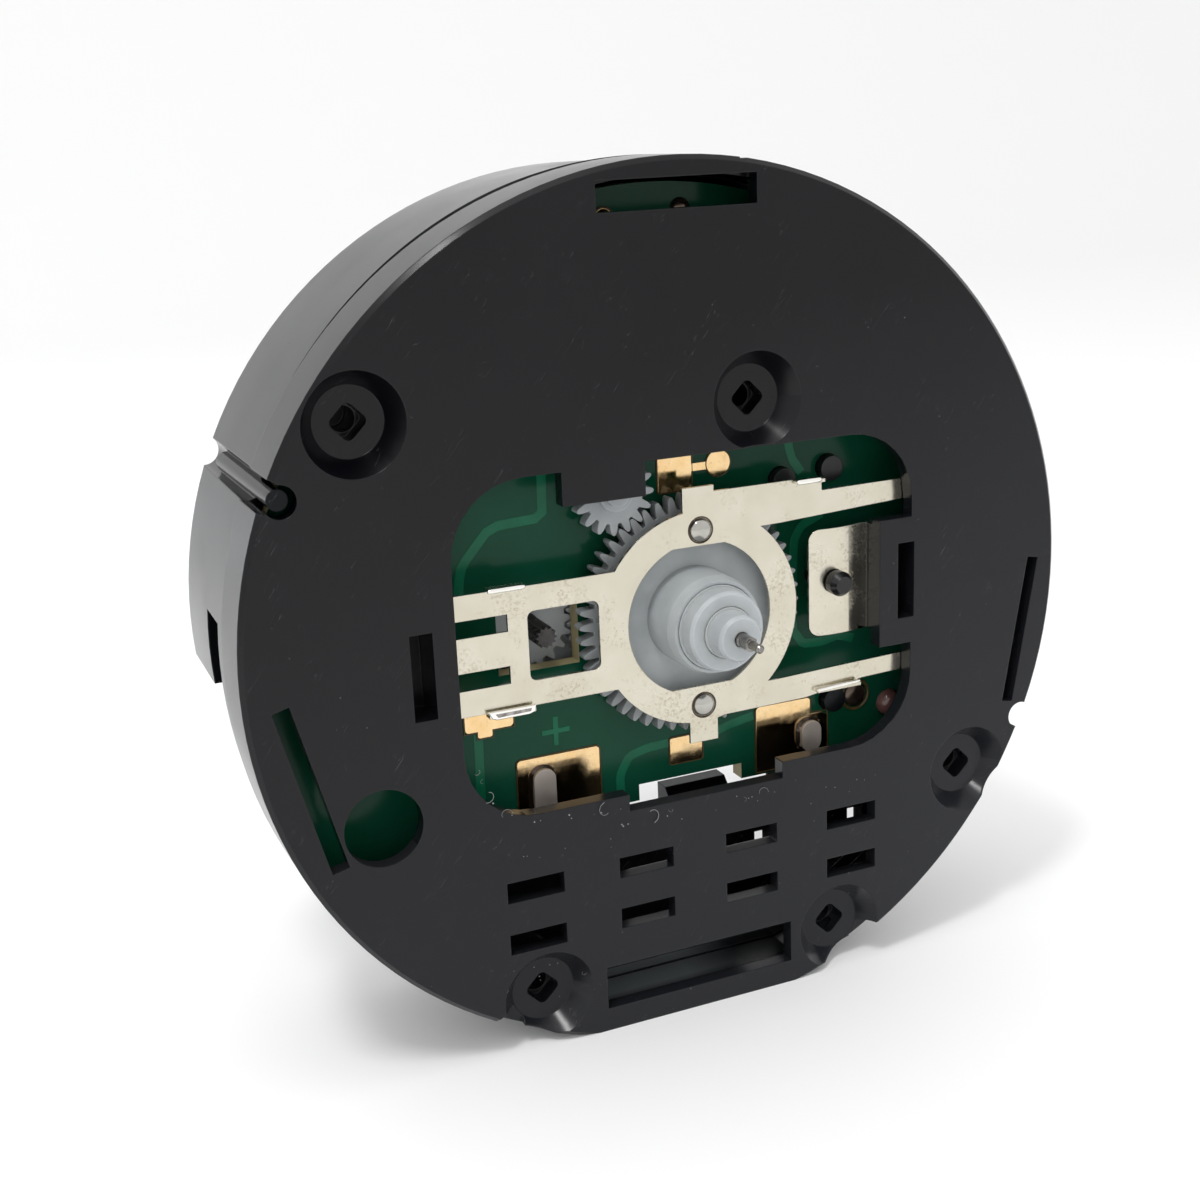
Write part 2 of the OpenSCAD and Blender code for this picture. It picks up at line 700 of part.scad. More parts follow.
module alarm_contact_spring() color(nickel) {
    slab(bracket_y, spring_t) bracket2d();
    flange_y = bracket_y - 0.6;
    block([-19, flange_y, 5.15 - small], [-15.9, bracket_y + spring_t, 5.45]);
    block([-19.5, flange_y, -5.3], [-15.5, bracket_y + spring_t, -5 + small]);
    block([9.3, flange_y, 10.35], [11.9, bracket_y + spring_t, 10.65]);
    block([9.3, bracket_y, 9.3], [11.9, bracket_y + spring_t, 10.65]);
    block([11.1, flange_y, -8.55], [15.5, bracket_y + spring_t, -8.25]);
    block([11.1, bracket_y, -8.55], [15.5, bracket_y + spring_t, -7.9]);
    for (c = [[0.2, 7.6], [0.1, -7.8]])
        intersection() {
            translate([c[0], bracket_y + 0.9, c[1]]) sphere(r = 1.3);
            rod(c, 0.95, bracket_y - 0.5, bracket_y + small);
        }
}

// Small leaf at the right, arched towards the face.
leaf_x0 = 11.0;
leaf_x1 = 17.7;
leaf_low = -3.7;
leaf_high = 5.9;
leaf_rise = 0.35;

function leaf_line(n, lift) = [for (i = [0:n]) let (u = i / n)
    [leaf_x0 + (leaf_x1 - leaf_x0) * u, leaf_y + leaf_rise * (1 - sin(180 * min(1, 1.2 * u))) + lift]];

module snooze_spring() color(nickel) {
    difference() {
        intersection() {
            translate([0, 0, leaf_low]) linear_extrude(leaf_high - leaf_low)
                polygon(concat(leaf_line(14, 0), [for (i = [14:-1:0]) leaf_line(14, spring_t)[i]]));
            slab(0, 6) union() {
                round_rect(leaf_x0, leaf_x1 + 2, leaf_low, leaf_high, 1.0);
                translate([leaf_x1 - 1, leaf_low]) square([3, leaf_high - leaf_low]);
            }
        }
        rod(post_c, post_r - 0.35, 0, 6);
    }
}

post_c = [13.4, 1.1];
post_r = 1.1;

// Black stud through the leaf, standing on the board.
module spring_post() color(black) {
    rod(post_c, post_r - 0.45, 1.2, leaf_y + 1.2);
    rod(post_c, post_r, leaf_y + spring_t + leaf_rise + 0.25, board_back);
    cone(post_c, post_r - 0.35, post_r, 0.25, 0.8);
    rod(post_c, post_r, 0.8, leaf_y - 0.25);
}

module alarm_wheel() color(white_plastic) {
    difference() {
        union() {
            slab(alarm_wheel_y, alarm_wheel_t) gear2d(alarm_z, alarm_m, alarm_angle, 1.1, 2.1);
            rod(hand_c, alarm_seat_r, -alarm_reach + 1, alarm_wheel_y + small);
            cone(hand_c, alarm_seat_r - 0.25, alarm_seat_r, -alarm_reach, -alarm_reach + 1);
        }
        rod(hand_c, alarm_bore_r, -10, 10);
    }
}

module alarm_setting_wheel() color("#eef1f3") {
    slab(alarm_wheel_y, alarm_wheel_t)
        at(alarm_c) gear2d(alarm_set_z, alarm_m, gap_phase(alarm_angle, alarm_set_z), 1.0, 1.5);
    rod(alarm_c, stem_r + 0.5, alarm_wheel_y - 0.4, alarm_wheel_y + small);
    rod(alarm_c, stem_r, alarm_wheel_y - 0.8, case_depth - 1.2);
    rod(alarm_c, stem_r + 0.9, back_bridge_y - 1.3, back_bridge_y - 0.3);
}

// Knob with grip flutes, its shank over the end of its arbor.
module knob(c, r, seat) {
    difference() {
        union() {
            rod(c, r, case_depth + 0.3, case_depth + knob_h - 0.5);
            cone(c, r, r - 0.5, case_depth + knob_h - 0.5, case_depth + knob_h);
            rod(c, stem_r + 0.05, seat, case_depth + 0.3 + small);
        }
        for (a = [0:20:340])
            rod(c + polar(r + 0.35, a), 0.7, case_depth, case_depth + knob_h + 1);
    }
}

module alarm_knob() color("#2c2e31") {
    knob(alarm_c, alarm_knob_r, case_depth - 1.2);
}

module time_knob() color("#2c2e31") {
    knob(motion_c, time_knob_r, case_depth - 1.2);
}

module hour_wheel() color(white_plastic) {
    difference() {
        union() {
            slab(hour_wheel_y, wheel_t)
                plain_gear2d(hour_z, hour_m, gap_phase(motion_angle + 180, hour_z));
            rod(hand_c, hour_run_r, -alarm_reach - 0.1, hour_wheel_y + small);
            rod(hand_c, hour_seat_r, -hour_reach + 0.3, -alarm_reach);
            cone(hand_c, hour_seat_r - 0.2, hour_seat_r, -hour_reach, -hour_reach + 0.3);
        }
        rod(hand_c, hour_bore_r, -10, 20);
    }
}

module minute_pipe() color(white_plastic) {
    difference() {
        union() {
            rod(hand_c, minute_run_r, -hour_reach - 0.1, motion_wheel_y - 0.3);
            rod(hand_c, minute_root_r, motion_wheel_y - 0.3 - small, motion_wheel_y + small);
            slab(motion_wheel_y, wheel_t)
                plain_gear2d(minute_pinion_z, minute_m, motion_angle, 0.7, 1.0);
            rod(hand_c, minute_seat_r, -minute_reach + 0.3, -hour_reach);
            cone(hand_c, minute_seat_r - 0.2, minute_seat_r, -minute_reach, -minute_reach + 0.3);
            rod(hand_c, minute_tail_r, motion_wheel_y, minute_gear_y + wheel_t + 0.2);
        }
        rod(hand_c, minute_bore_r, -10, 20);
    }
}
minute_tail_r = 1.3;
minute_root_r = (minute_pinion_z / 2 - 1) * minute_m;

module motion_wheel() color(white_plastic) {
    difference() {
        union() {
            slab(motion_wheel_y, wheel_t) at(motion_c)
                plain_gear2d(motion_z, minute_m, gap_phase(motion_angle, motion_z));
            slab(hour_wheel_y, motion_wheel_y - hour_wheel_y + small) at(motion_c)
                plain_gear2d(motion_pinion_z, hour_m, motion_angle + 180);
        }
        rod(motion_c, stem_r, hour_wheel_y - 1, bridge_y);
    }
}

// Ribbed steel arbor that shows in the bracket's window.
module setting_arbor() color("#5c5a58") {
    rod(motion_c, stem_r, hour_wheel_y - 0.3, case_depth - 1.2);
    slab(2.6, hour_wheel_y - 2.9 + small) at(motion_c)
        polygon([for (i = [0:23]) polar(i % 2 == 0 ? stem_r * 0.95 : stem_r * 0.7, i * 15)]);
    rod(motion_c, stem_r + 0.7, back_bridge_y - 1.3, back_bridge_y - 0.3);
}

module minute_gear() color("#ded9cc") {
    difference() {
        slab(minute_gear_y, wheel_t) plain_gear2d(minute_z, centre_m, gap_phase(third_angle + 180, minute_z));
        rod(hand_c, minute_tail_r + run_gap, minute_gear_y - 1, minute_gear_y + 2);
    }
}

module third_wheel() color("#ded9cc") {
    difference() {
        union() {
            slab(third_wheel_y, fine_wheel_t) at(third_c)
                plain_gear2d(third_z, third_m, gap_phase(third_angle, third_z));
            slab(minute_gear_y - 0.1, third_wheel_y - minute_gear_y + 0.1 + small) at(third_c)
                plain_gear2d(leaf_z, centre_m, third_angle + 180);
        }
        rod(third_c, pivot_r, minute_gear_y - 1, third_wheel_y + 3);
    }
}

module third_arbor() color(steel) {
    rod(third_c, pivot_r, bridge_y + 0.2, back_bridge_back - 0.2);
}

module seconds_wheel() color("#ded9cc") {
    difference() {
        union() {
            slab(seconds_wheel_y, fine_wheel_t)
                plain_gear2d(seconds_z, inter_m, gap_phase(inter_angle + 180, seconds_z));
            slab(third_wheel_y - 0.1, seconds_wheel_y - third_wheel_y + 0.1 + small)
                plain_gear2d(leaf_z, third_m, third_angle);
        }
        rod(hand_c, seconds_r, third_wheel_y - 1, seconds_wheel_y + 3);
    }
}

module seconds_arbor() color(steel) {
    rod(hand_c, seconds_r, -minute_reach, back_bridge_back - 0.2);
    difference() {
        rod(hand_c, seconds_r, -minute_reach - 1.6, -minute_reach + small);
        for (s = [-1, 1])
            translate([s * (seconds_r + 0.38) - 0.5, -minute_reach - 3, -2]) cube([1, 2.7, 4]);
    }
    rod(hand_c, seconds_seat_r, -seconds_reach + 0.2, -minute_reach - 1.6 + small);
    cone(hand_c, seconds_seat_r - 0.15, seconds_seat_r, -seconds_reach, -seconds_reach + 0.2);
}

module intermediate_wheel() color("#ded9cc") {
    difference() {
        union() {
            slab(inter_wheel_y, fine_wheel_t) at(inter_c)
                plain_gear2d(inter_z, rotor_m, gap_phase(rotor_angle + 180, inter_z));
            slab(seconds_wheel_y - 0.1, inter_wheel_y - seconds_wheel_y + 0.1 + small) at(inter_c)
                plain_gear2d(leaf_z, inter_m, inter_angle + 180);
        }
        rod(inter_c, pivot_r, seconds_wheel_y - 1, inter_wheel_y + 3);
    }
}

module intermediate_arbor() color(steel) {
    rod(inter_c, pivot_r, bridge_y + 0.2, back_bridge_back - 0.2);
}

module rotor_pinion() color(white_plastic) {
    slab(inter_wheel_y - 0.1, rotor_y - inter_wheel_y + 0.1) at(rotor_c)
        plain_gear2d(rotor_z, rotor_m, rotor_angle + 180, 0.7, 0.9);
    rod(rotor_c, 0.3, bridge_y + 0.2, back_bridge_back - 0.2);
}

magnet_r = 2.3;

module rotor_magnet() color("#4a4a4e") {
    tube(rotor_c, magnet_r, 0.3, rotor_y, rotor_y + rotor_t);
}

// Stator legs run from the rotor's hole up to the coil's core.
stator_t = 1.0;
stator_y = rotor_y + 0.3;
core_z = 16.4;
core_x = [7.2, 25.2];
leg_w = 3.2;

module stator() color("#a3a5a8") {
    slab(stator_y, stator_t) difference() {
        union() {
            at(rotor_c) circle(magnet_r + 2.4);
            bar2d([rotor_c[0] - 1.5, rotor_c[1] + 1], [core_x[0] + 1.8, 8.5], 3.4);
            bar2d([rotor_c[0] + 1.5, rotor_c[1] + 1], [core_x[1] - 1.8, 8.5], 3.4);
            pad2d(core_x[0], core_x[0] + leg_w, 7.2, core_z + 1.6);
            pad2d(core_x[1] - leg_w, core_x[1], 7.2, core_z + 1.6);
        }
        at(rotor_c) circle(magnet_r + 0.4);
    }
}

module coil_core() color("#9a9ca0") {
    slab(stator_y - stator_t, stator_t) pad2d(core_x[0], core_x[1], core_z - 1.4, core_z + 1.4);
}

coil_x = [core_x[0] + leg_w + 0.5, core_x[1] - leg_w - 0.5];
coil_y = stator_y - stator_t / 2;
winding_r = 2.7;

module along_x(x0, x1, r) {
    translate([x0, coil_y, core_z]) rotate([0, 90, 0]) cylinder(h = x1 - x0, r = r);
}

module core_room() {
    block([core_x[0] - 1, coil_y - stator_t / 2, core_z - 1.4],
        [core_x[1] + 1, coil_y + stator_t / 2, core_z + 1.4]);
}

module coil_bobbin() color("#d9dcd6") {
    difference() {
        union() {
            along_x(coil_x[0], coil_x[1], 1.8);
            for (x = [coil_x[0], coil_x[1] - 0.6])
                block([x, coil_y - 3, core_z - 3.1], [x + 0.6, coil_y + 2.6, core_z + 3.1]);
        }
        core_room();
    }
}

module coil_winding() color("#b5622e") {
    difference() {
        along_x(coil_x[0] + 0.6, coil_x[1] - 0.6, winding_r);
        along_x(coil_x[0], coil_x[1], 1.8);
    }
}

module bridge2d() {
    round_rect(-17.6, 19.4, -8.4, 12.9, 3);
}

// Front bridge: bearings for the pipes and the fine train, with pillars and board pegs.
module front_bridge() color(black) {
    difference() {
        union() {
            slab(bridge_y, bridge_t) bridge2d();
            for (c = bridge_pillars)
                rod(c, bridge_pillar_r, bridge_y, back_bridge_y);
            for (c = bridge_pegs) {
                rod(c, peg_foot_r, board_back, bridge_y + small);
                rod(c, peg_r, board_y - peg_reach, board_back + small);
            }
        }
        rod(hand_c, minute_tail_r + run_gap, bridge_y - 1, bridge_back + 1);
        for (c = [motion_c, alarm_c])
            rod(c, stem_r + run_gap, bridge_y - 1, bridge_back + 1);
        for (c = [third_c, inter_c])
            rod(c, pivot_r + run_gap, bridge_y - 1, bridge_back + 1);
        rod(rotor_c, 0.3 + run_gap, bridge_y - 1, bridge_back + 1);
        for (c = bridge_pillars)
            rod(c, screw_r, back_bridge_y - 6, back_bridge_y + 1);
    }
}

module back_bridge() color(black) {
    difference() {
        slab(back_bridge_y, bridge_t) bridge2d();
        rod(hand_c, seconds_r + run_gap, back_bridge_y - 1, back_bridge_back + 1);
        for (c = [motion_c, alarm_c])
            rod(c, stem_r + run_gap, back_bridge_y - 1, back_bridge_back + 1);
        for (c = [third_c, inter_c])
            rod(c, pivot_r + run_gap, back_bridge_y - 1, back_bridge_back + 1);
        rod(rotor_c, 0.3 + run_gap, back_bridge_y - 1, back_bridge_back + 1);
        for (c = bridge_pillars)
            rod(c, screw_r + 0.15, back_bridge_y - 1, back_bridge_back + 1);
    }
}

// Pan-head screw along Y, with its head at the rear and a cross recess.
module screw(c, tip, seat) {
    difference() {
        union() {
            rod(c, screw_r - 0.02, tip, seat + small);
            rod(c, screw_head_r, seat, seat + screw_head_t - 0.3);
            cone(c, screw_head_r, screw_head_r - 0.35, seat + screw_head_t - 0.3, seat + screw_head_t);
        }
        for (a = [0, 90])
            translate([c[0], seat + 0.4, c[1]]) rotate([0, a, 0])
                translate([-1, 0, -0.2]) cube([2, 2, 0.4]);
    }
}

module bridge_screws() color(steel) {
    for (c = bridge_pillars)
        screw(c, back_bridge_y - 5, bridge_head_seat);
}

module case_screws() color(steel) {
    for (c = case_pillars)
        screw(c, case_screw_seat - 6, head_seat(c));
}

// Contact strips run from the ends of the bay to the tabs soldered to the board.
strip_z = [-16.2, -13.0];

module contact_strip(x_end, tab) {
    tab_x = tab[0];
    block([min(x_end, tab_x - 1), strip_y, strip_z[0]], [max(x_end, tab_x + 1), strip_y + contact_t, strip_z[1]]);
    block([tab_x - tab[2] / 2, board_y - 0.5, tab[1] - 0.9],
        [tab_x + tab[2] / 2, strip_y + small, tab[1] + 0.9]);
    slab(board_y - 0.8, 0.35) round_rect(tab_x - tab[2] / 2, tab_x + tab[2] / 2,
        tab[1] - tab[3] / 2, tab[1] + tab[3] / 2, 0.95);
}

module positive_contact() color("#c8cacc") {
    x = bay_x0 + 0.1;
    contact_strip(x, contact_tabs[0]);
    block([x, strip_y, cell_z - 3], [x + contact_t, cell_y + 4, cell_z + 5]);
    translate([x + contact_t - small, cell_y, cell_z]) rotate([0, 90, 0])
        cylinder(h = 1.2, r1 = 2.6, r2 = 1.8);
}

module negative_contact() color("#c8cacc") {
    x = bay_x1 - 0.1;
    contact_strip(x, contact_tabs[1]);
    block([x - contact_t, strip_y, cell_z - 3], [x, cell_y + 4, cell_z + 5]);
}

// Cone spring of the negative contact: one unbroken tube that starts square on the contact.
curls = 2.5;
curl_rings = 8;
wire_r = 0.25;
curl_r0 = 4.3;
curl_r1 = 2.0;
curl_reach = 1.6;
spring_x = bay_x1 - 0.1 - contact_t;
bend = 2 * wire_r;

function curl_out(u) = [0, cos(360 * curls * u), sin(360 * curls * u)];
function curl_r(u) = curl_r0 + (curl_r1 - curl_r0) * u;
function curl_point(u) = [spring_x - 2 * bend - curl_reach * u, cell_y, cell_z] + curl_r(u) * curl_out(u);
function curl_way(u) = [0, -sin(360 * curls * u), cos(360 * curls * u)];
function ring(p, out, way) = [for (k = [0:5]) p + wire_r * (cos(60 * k) * out + sin(60 * k) * cross(way, out))];

// The wire leaves the contact straight, bends by a quarter turn and runs into the first curl.
function lead_point(f) = curl_point(0) + [bend * (1 - sin(f)), 0, 0] - bend * cos(f) * curl_way(0);
function lead_way(f) = -cos(f) * [1, 0, 0] + sin(f) * curl_way(0);

curl_n = curls * curl_rings;
curl_gap = min([for (i = [0:curl_n]) for (j = [i + curl_rings - 2:1:curl_n])
    norm(curl_point(i / curl_n) - curl_point(j / curl_n))]) - 2 * wire_r;
echo(least_gap_of_battery_spring = curl_gap);

module battery_spring() color("#d5d7d9") {
    rings = concat([ring(lead_point(0) + [bend, 0, 0], curl_out(0), lead_way(0))],
        [for (f = [0, 45]) ring(lead_point(f), curl_out(0), lead_way(f))],
        [for (i = [0:curl_n]) ring(curl_point(i / curl_n), curl_out(i / curl_n), curl_way(i / curl_n))]);
    last = len(rings) - 1;
    sides = [for (i = [0:last - 1]) for (k = [0:5]) let (a = 6 * i + k, b = 6 * i + (k + 1) % 6)
        each [[a, b + 6, b], [a, a + 6, b + 6]]];
    ends = [for (k = [1:4]) each [[0, k, k + 1], [6 * last, 6 * last + k + 1, 6 * last + k]]];
    polyhedron([for (r = rings) each r], concat(sides, ends));
}

module quartz_crystal() color("#c5c7ca") {
    translate([-25, board_back + 1.05, 14.6]) rotate([0, 90, 0]) cylinder(h = 6, r = 1);
    for (z = [14.2, 15])
        block([-19.1, board_back + 0.9, z - 0.12], [-17.6, board_back + 1.15, z + 0.12]);
    for (z = [14.2, 15])
        block([-17.8, board_back - small, z - 0.12], [-17.55, board_back + 1.15, z + 0.12]);
}

module chip_cover() color("#17181a") {
    intersection() {
        translate([21.5, board_back - 2.6, 4]) sphere(r = 4.2);
        block([10, board_back, -4], [30, board_back + 3, 12]);
    }
}

module buzzer() color("#1d1f21") {
    difference() {
        rod(sound_c, 6, board_back, board_back + 8.2);
        rod(sound_c, 1.0, board_back + 5, board_back + 9);
    }
}

module dial_lamp() color([0.95, 0.78, 0.8]) {
    intersection() {
        translate([21.2, board_y, -12.5]) sphere(r = 1.3);
        block([19, board_y - 2, -15], [23, board_y, -10]);
    }
}

// Slider under the rear wall with its button through the slot.
module alarm_switch_slider() color("#b8bcc0") {
    translate([switch_c[0] - switch_l / 2, 0, switch_c[1] - switch_w / 2]) {
        translate([-switch_flange, rear_in_y - 1.0, -switch_flange + 0.4])
            cube([switch_l + 2 * switch_flange, 0.9, switch_w + 2 * switch_flange - 0.8]);
        difference() {
            translate([0, rear_in_y - 0.2, 0]) cube([switch_l, wall_t + 1.4, switch_w]);
            for (i = [0:2])
                translate([0.7 + i * 1.2, rear_in_y + wall_t + 0.7, -1]) cube([0.6, 1, switch_w + 2]);
        }
    }
}

front_plate();
rear_housing();
circuit_board();
board_pads();
alarm_contact_spring();
snooze_spring();
spring_post();
alarm_wheel();
alarm_setting_wheel();
alarm_knob();
hour_wheel();
minute_pipe();
motion_wheel();
setting_arbor();
time_knob();
minute_gear();
third_wheel();
third_arbor();
seconds_wheel();
seconds_arbor();
intermediate_wheel();
intermediate_arbor();
rotor_pinion();
rotor_magnet();
stator();
coil_core();
coil_bobbin();
coil_winding();
front_bridge();
back_bridge();
bridge_screws();
case_screws();
positive_contact();
negative_contact();
battery_spring();
quartz_crystal();
chip_cover();
buzzer();
dial_lamp();
alarm_switch_slider();
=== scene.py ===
import json
import math

import bmesh
import bpy
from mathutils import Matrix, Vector


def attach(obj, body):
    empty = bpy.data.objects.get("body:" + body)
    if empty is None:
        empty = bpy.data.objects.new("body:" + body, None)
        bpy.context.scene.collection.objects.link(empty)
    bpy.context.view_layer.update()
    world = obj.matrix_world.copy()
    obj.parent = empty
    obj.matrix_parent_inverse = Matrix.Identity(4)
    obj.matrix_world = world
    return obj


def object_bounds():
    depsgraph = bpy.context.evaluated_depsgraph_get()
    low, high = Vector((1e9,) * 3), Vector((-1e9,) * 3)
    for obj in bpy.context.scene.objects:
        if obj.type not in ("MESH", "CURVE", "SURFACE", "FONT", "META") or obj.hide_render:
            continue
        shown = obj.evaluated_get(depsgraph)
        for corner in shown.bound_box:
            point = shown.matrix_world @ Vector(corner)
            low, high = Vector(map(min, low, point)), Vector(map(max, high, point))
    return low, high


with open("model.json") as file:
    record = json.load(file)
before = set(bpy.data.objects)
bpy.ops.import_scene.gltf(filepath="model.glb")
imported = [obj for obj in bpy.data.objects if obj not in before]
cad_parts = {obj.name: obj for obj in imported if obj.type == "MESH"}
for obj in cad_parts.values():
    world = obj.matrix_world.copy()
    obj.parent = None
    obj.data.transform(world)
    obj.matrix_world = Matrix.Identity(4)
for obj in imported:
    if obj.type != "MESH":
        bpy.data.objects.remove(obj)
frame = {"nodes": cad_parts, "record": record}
cad_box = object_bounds()
MM = 0.001

# Places on the CAD part, in millimetres
BOARD_Y = 5.2  # the board's front face
SEAM_Y = 6.02  # just behind the end of the plate's skirt
BAY_FLOOR_Y = 7.7
REAR_MARKS_Y = 22.68  # just proud of the rear face
KNOB_CAP_Y = 25.83  # just proud of the knobs
RIM_X, RIM_Z = -1.8, 0.4  # the round rim's centre
WINDOW_SILL_Z = -15.4
LOW_FLOOR_Z = -31.5  # the floor behind the low window lies below this
LOW_WINDOW_LEFT_X = -10.8

CASE = "case"  # the body that doesn't move


# Shader parts


def link(tree, a, b):
    tree.links.new(a, b)


def node(tree, kind, **values):
    """A new node with its inputs or settings by name."""
    made = tree.nodes.new(kind)
    for name, value in values.items():
        if name in made.inputs:
            made.inputs[name].default_value = value
        else:
            setattr(made, name, value)
    return made


def math_node(tree, operation, a, b=None, clamp=False):
    """One step of arithmetic on numbers or sockets."""
    made = tree.nodes.new("ShaderNodeMath")
    made.operation = operation
    made.use_clamp = clamp
    for i, value in enumerate((a, b)):
        if value is None:
            continue
        if isinstance(value, (int, float)):
            made.inputs[i].default_value = value
        else:
            tree.links.new(value, made.inputs[i])
    return made.outputs[0]


def ramp(tree, value, low, high, to_low=0.0, to_high=1.0):
    """Maps a value from one range onto another, and stops at its ends."""
    made = tree.nodes.new("ShaderNodeMapRange")
    made.inputs["From Min"].default_value = low
    made.inputs["From Max"].default_value = high
    made.inputs["To Min"].default_value = to_low
    made.inputs["To Max"].default_value = to_high
    tree.links.new(value, made.inputs["Value"])
    return made.outputs["Result"]


def new_group(name, inputs, outputs, kind="ShaderNodeTree"):
    """An empty node group with its sockets, and its input and output nodes."""
    tree = bpy.data.node_groups.new(name, kind)
    for label, socket_type, value in inputs:
        socket = tree.interface.new_socket(name=label, in_out="INPUT", socket_type=socket_type)
        if value is not None:
            socket.default_value = value
    for label, socket_type in outputs:
        tree.interface.new_socket(name=label, in_out="OUTPUT", socket_type=socket_type)
    return tree, tree.nodes.new("NodeGroupInput"), tree.nodes.new("NodeGroupOutput")


FLOAT = "NodeSocketFloat"
VECTOR = "NodeSocketVector"
GEOMETRY = "NodeSocketGeometry"


def in_millimetres(tree):
    """The place on the piece, in millimetres."""
    place = tree.nodes.new("ShaderNodeTexCoord")
    scale = tree.nodes.new("ShaderNodeVectorMath")
    scale.operation = "SCALE"
    scale.inputs["Scale"].default_value = 1 / MM
    tree.links.new(place.outputs["Object"], scale.inputs[0])
    return scale.outputs[0]


def split_vector(tree, vector):
    """The X, Y and Z of a vector."""
    split = tree.nodes.new("ShaderNodeSeparateXYZ")
    link(tree, vector, split.inputs[0])
    return split.outputs


def split_normal(tree):
    """The X, Y and Z of the surface's normal."""
    return split_vector(tree, tree.nodes.new("ShaderNodeNewGeometry").outputs["Normal"])


def make_edge_wear():
    """Mask of the outer edges, and a normal that rounds them."""
    tree, inside, outside = new_group("edge_wear", [("Radius", FLOAT, 0.0002), ("Raggedness", FLOAT, 0.5)],
                                      [("Mask", FLOAT), ("Normal", VECTOR)])
    bevel = tree.nodes.new("ShaderNodeBevel")
    bevel.samples = 6
    link(tree, inside.outputs["Radius"], bevel.inputs["Radius"])
    flat = tree.nodes.new("ShaderNodeNewGeometry")
    dot = tree.nodes.new("ShaderNodeVectorMath")
    dot.operation = "DOT_PRODUCT"
    link(tree, bevel.outputs[0], dot.inputs[0])
    link(tree, flat.outputs["Normal"], dot.inputs[1])
    edge = ramp(tree, math_node(tree, "SUBTRACT", 1.0, dot.outputs["Value"]), 0.02, 0.2)
    noise = node(tree, "ShaderNodeTexNoise", Scale=0.9, Detail=4.0, Roughness=0.65)
    link(tree, in_millimetres(tree), noise.inputs["Vector"])
    broken = ramp(tree, noise.outputs["Fac"], 0.38, 0.62)
    mixed = math_node(tree, "MULTIPLY", broken, inside.outputs["Raggedness"])
    keep = math_node(tree, "SUBTRACT", 1.0, mixed)
    link(tree, math_node(tree, "MULTIPLY", edge, keep, clamp=True), outside.inputs["Mask"])
    link(tree, bevel.outputs[0], outside.inputs["Normal"])
    return tree


def make_dust():
    """Fine specks and lint, gathered in patches."""
    tree, inside, outside = new_group("dust", [("Amount", FLOAT, 0.3), ("Speck Size", FLOAT, 0.12)],
                                      [("Mask", FLOAT)])
    place = in_millimetres(tree)
    cells = node(tree, "ShaderNodeTexVoronoi", Scale=1.1, Randomness=1.0)
    link(tree, place, cells.inputs["Vector"])
    speck = math_node(tree, "LESS_THAN", cells.outputs["Distance"], inside.outputs["Speck Size"])
    split = tree.nodes.new("ShaderNodeSeparateColor")
    link(tree, cells.outputs["Color"], split.inputs[0])
    kept = math_node(tree, "LESS_THAN", split.outputs[0], inside.outputs["Amount"])
    patch = node(tree, "ShaderNodeTexNoise", Scale=0.12, Detail=3.0)
    link(tree, place, patch.inputs["Vector"])
    patches = ramp(tree, patch.outputs["Fac"], 0.42, 0.62)
    both = math_node(tree, "MULTIPLY", speck, kept)
    link(tree, math_node(tree, "MULTIPLY", both, patches), outside.inputs["Mask"])
    return tree


def make_scratches():
    """Short hairline scratches that lie in one direction."""
    tree, inside, outside = new_group("scratches", [("Turn", FLOAT, 0.6), ("Width", FLOAT, 0.004)],
                                      [("Mask", FLOAT)])
    place = in_millimetres(tree)
    turn = tree.nodes.new("ShaderNodeVectorRotate")
    turn.rotation_type = "Y_AXIS"
    link(tree, place, turn.inputs["Vector"])
    link(tree, inside.outputs["Turn"], turn.inputs["Angle"])
    stretch = tree.nodes.new("ShaderNodeVectorMath")
    stretch.operation = "MULTIPLY"
    stretch.inputs[1].default_value = (0.12, 0.3, 1.3)
    link(tree, turn.outputs[0], stretch.inputs[0])
    noise = node(tree, "ShaderNodeTexNoise", Scale=1.0, Detail=2.0, Roughness=0.6)
    link(tree, stretch.outputs[0], noise.inputs["Vector"])
    away = math_node(tree, "ABSOLUTE", math_node(tree, "SUBTRACT", noise.outputs["Fac"], 0.5))
    line = math_node(tree, "LESS_THAN", away, inside.outputs["Width"])
    patch = node(tree, "ShaderNodeTexNoise", Scale=0.35, Detail=2.0)
    link(tree, place, patch.inputs["Vector"])
    kept = ramp(tree, patch.outputs["Fac"], 0.55, 0.6)
    link(tree, math_node(tree, "MULTIPLY", line, kept), outside.inputs["Mask"])
    return tree


def make_grain():
    """Height of a moulded or stamped skin: fine grain over slow waves."""
    tree, inside, outside = new_group("grain", [("Fine Scale", FLOAT, 14.0), ("Slow Scale", FLOAT, 0.25)],
                                      [("Height", FLOAT), ("Slow", FLOAT)])
    place = in_millimetres(tree)
    fine = node(tree, "ShaderNodeTexNoise", Detail=3.0, Roughness=0.6)
    slow = node(tree, "ShaderNodeTexNoise", Detail=3.0, Roughness=0.5)
    for made, label in ((fine, "Fine Scale"), (slow, "Slow Scale")):
        link(tree, place, made.inputs["Vector"])
        link(tree, inside.outputs[label], made.inputs["Scale"])
    height = math_node(tree, "ADD", math_node(tree, "MULTIPLY", fine.outputs["Fac"], 0.25),
                       slow.outputs["Fac"])
    link(tree, height, outside.inputs["Height"])
    link(tree, slow.outputs["Fac"], outside.inputs["Slow"])
    return tree


def facing_up(tree):
    """1 where a face looks up."""
    return math_node(tree, "GREATER_THAN", split_normal(tree)["Z"], 0.6)


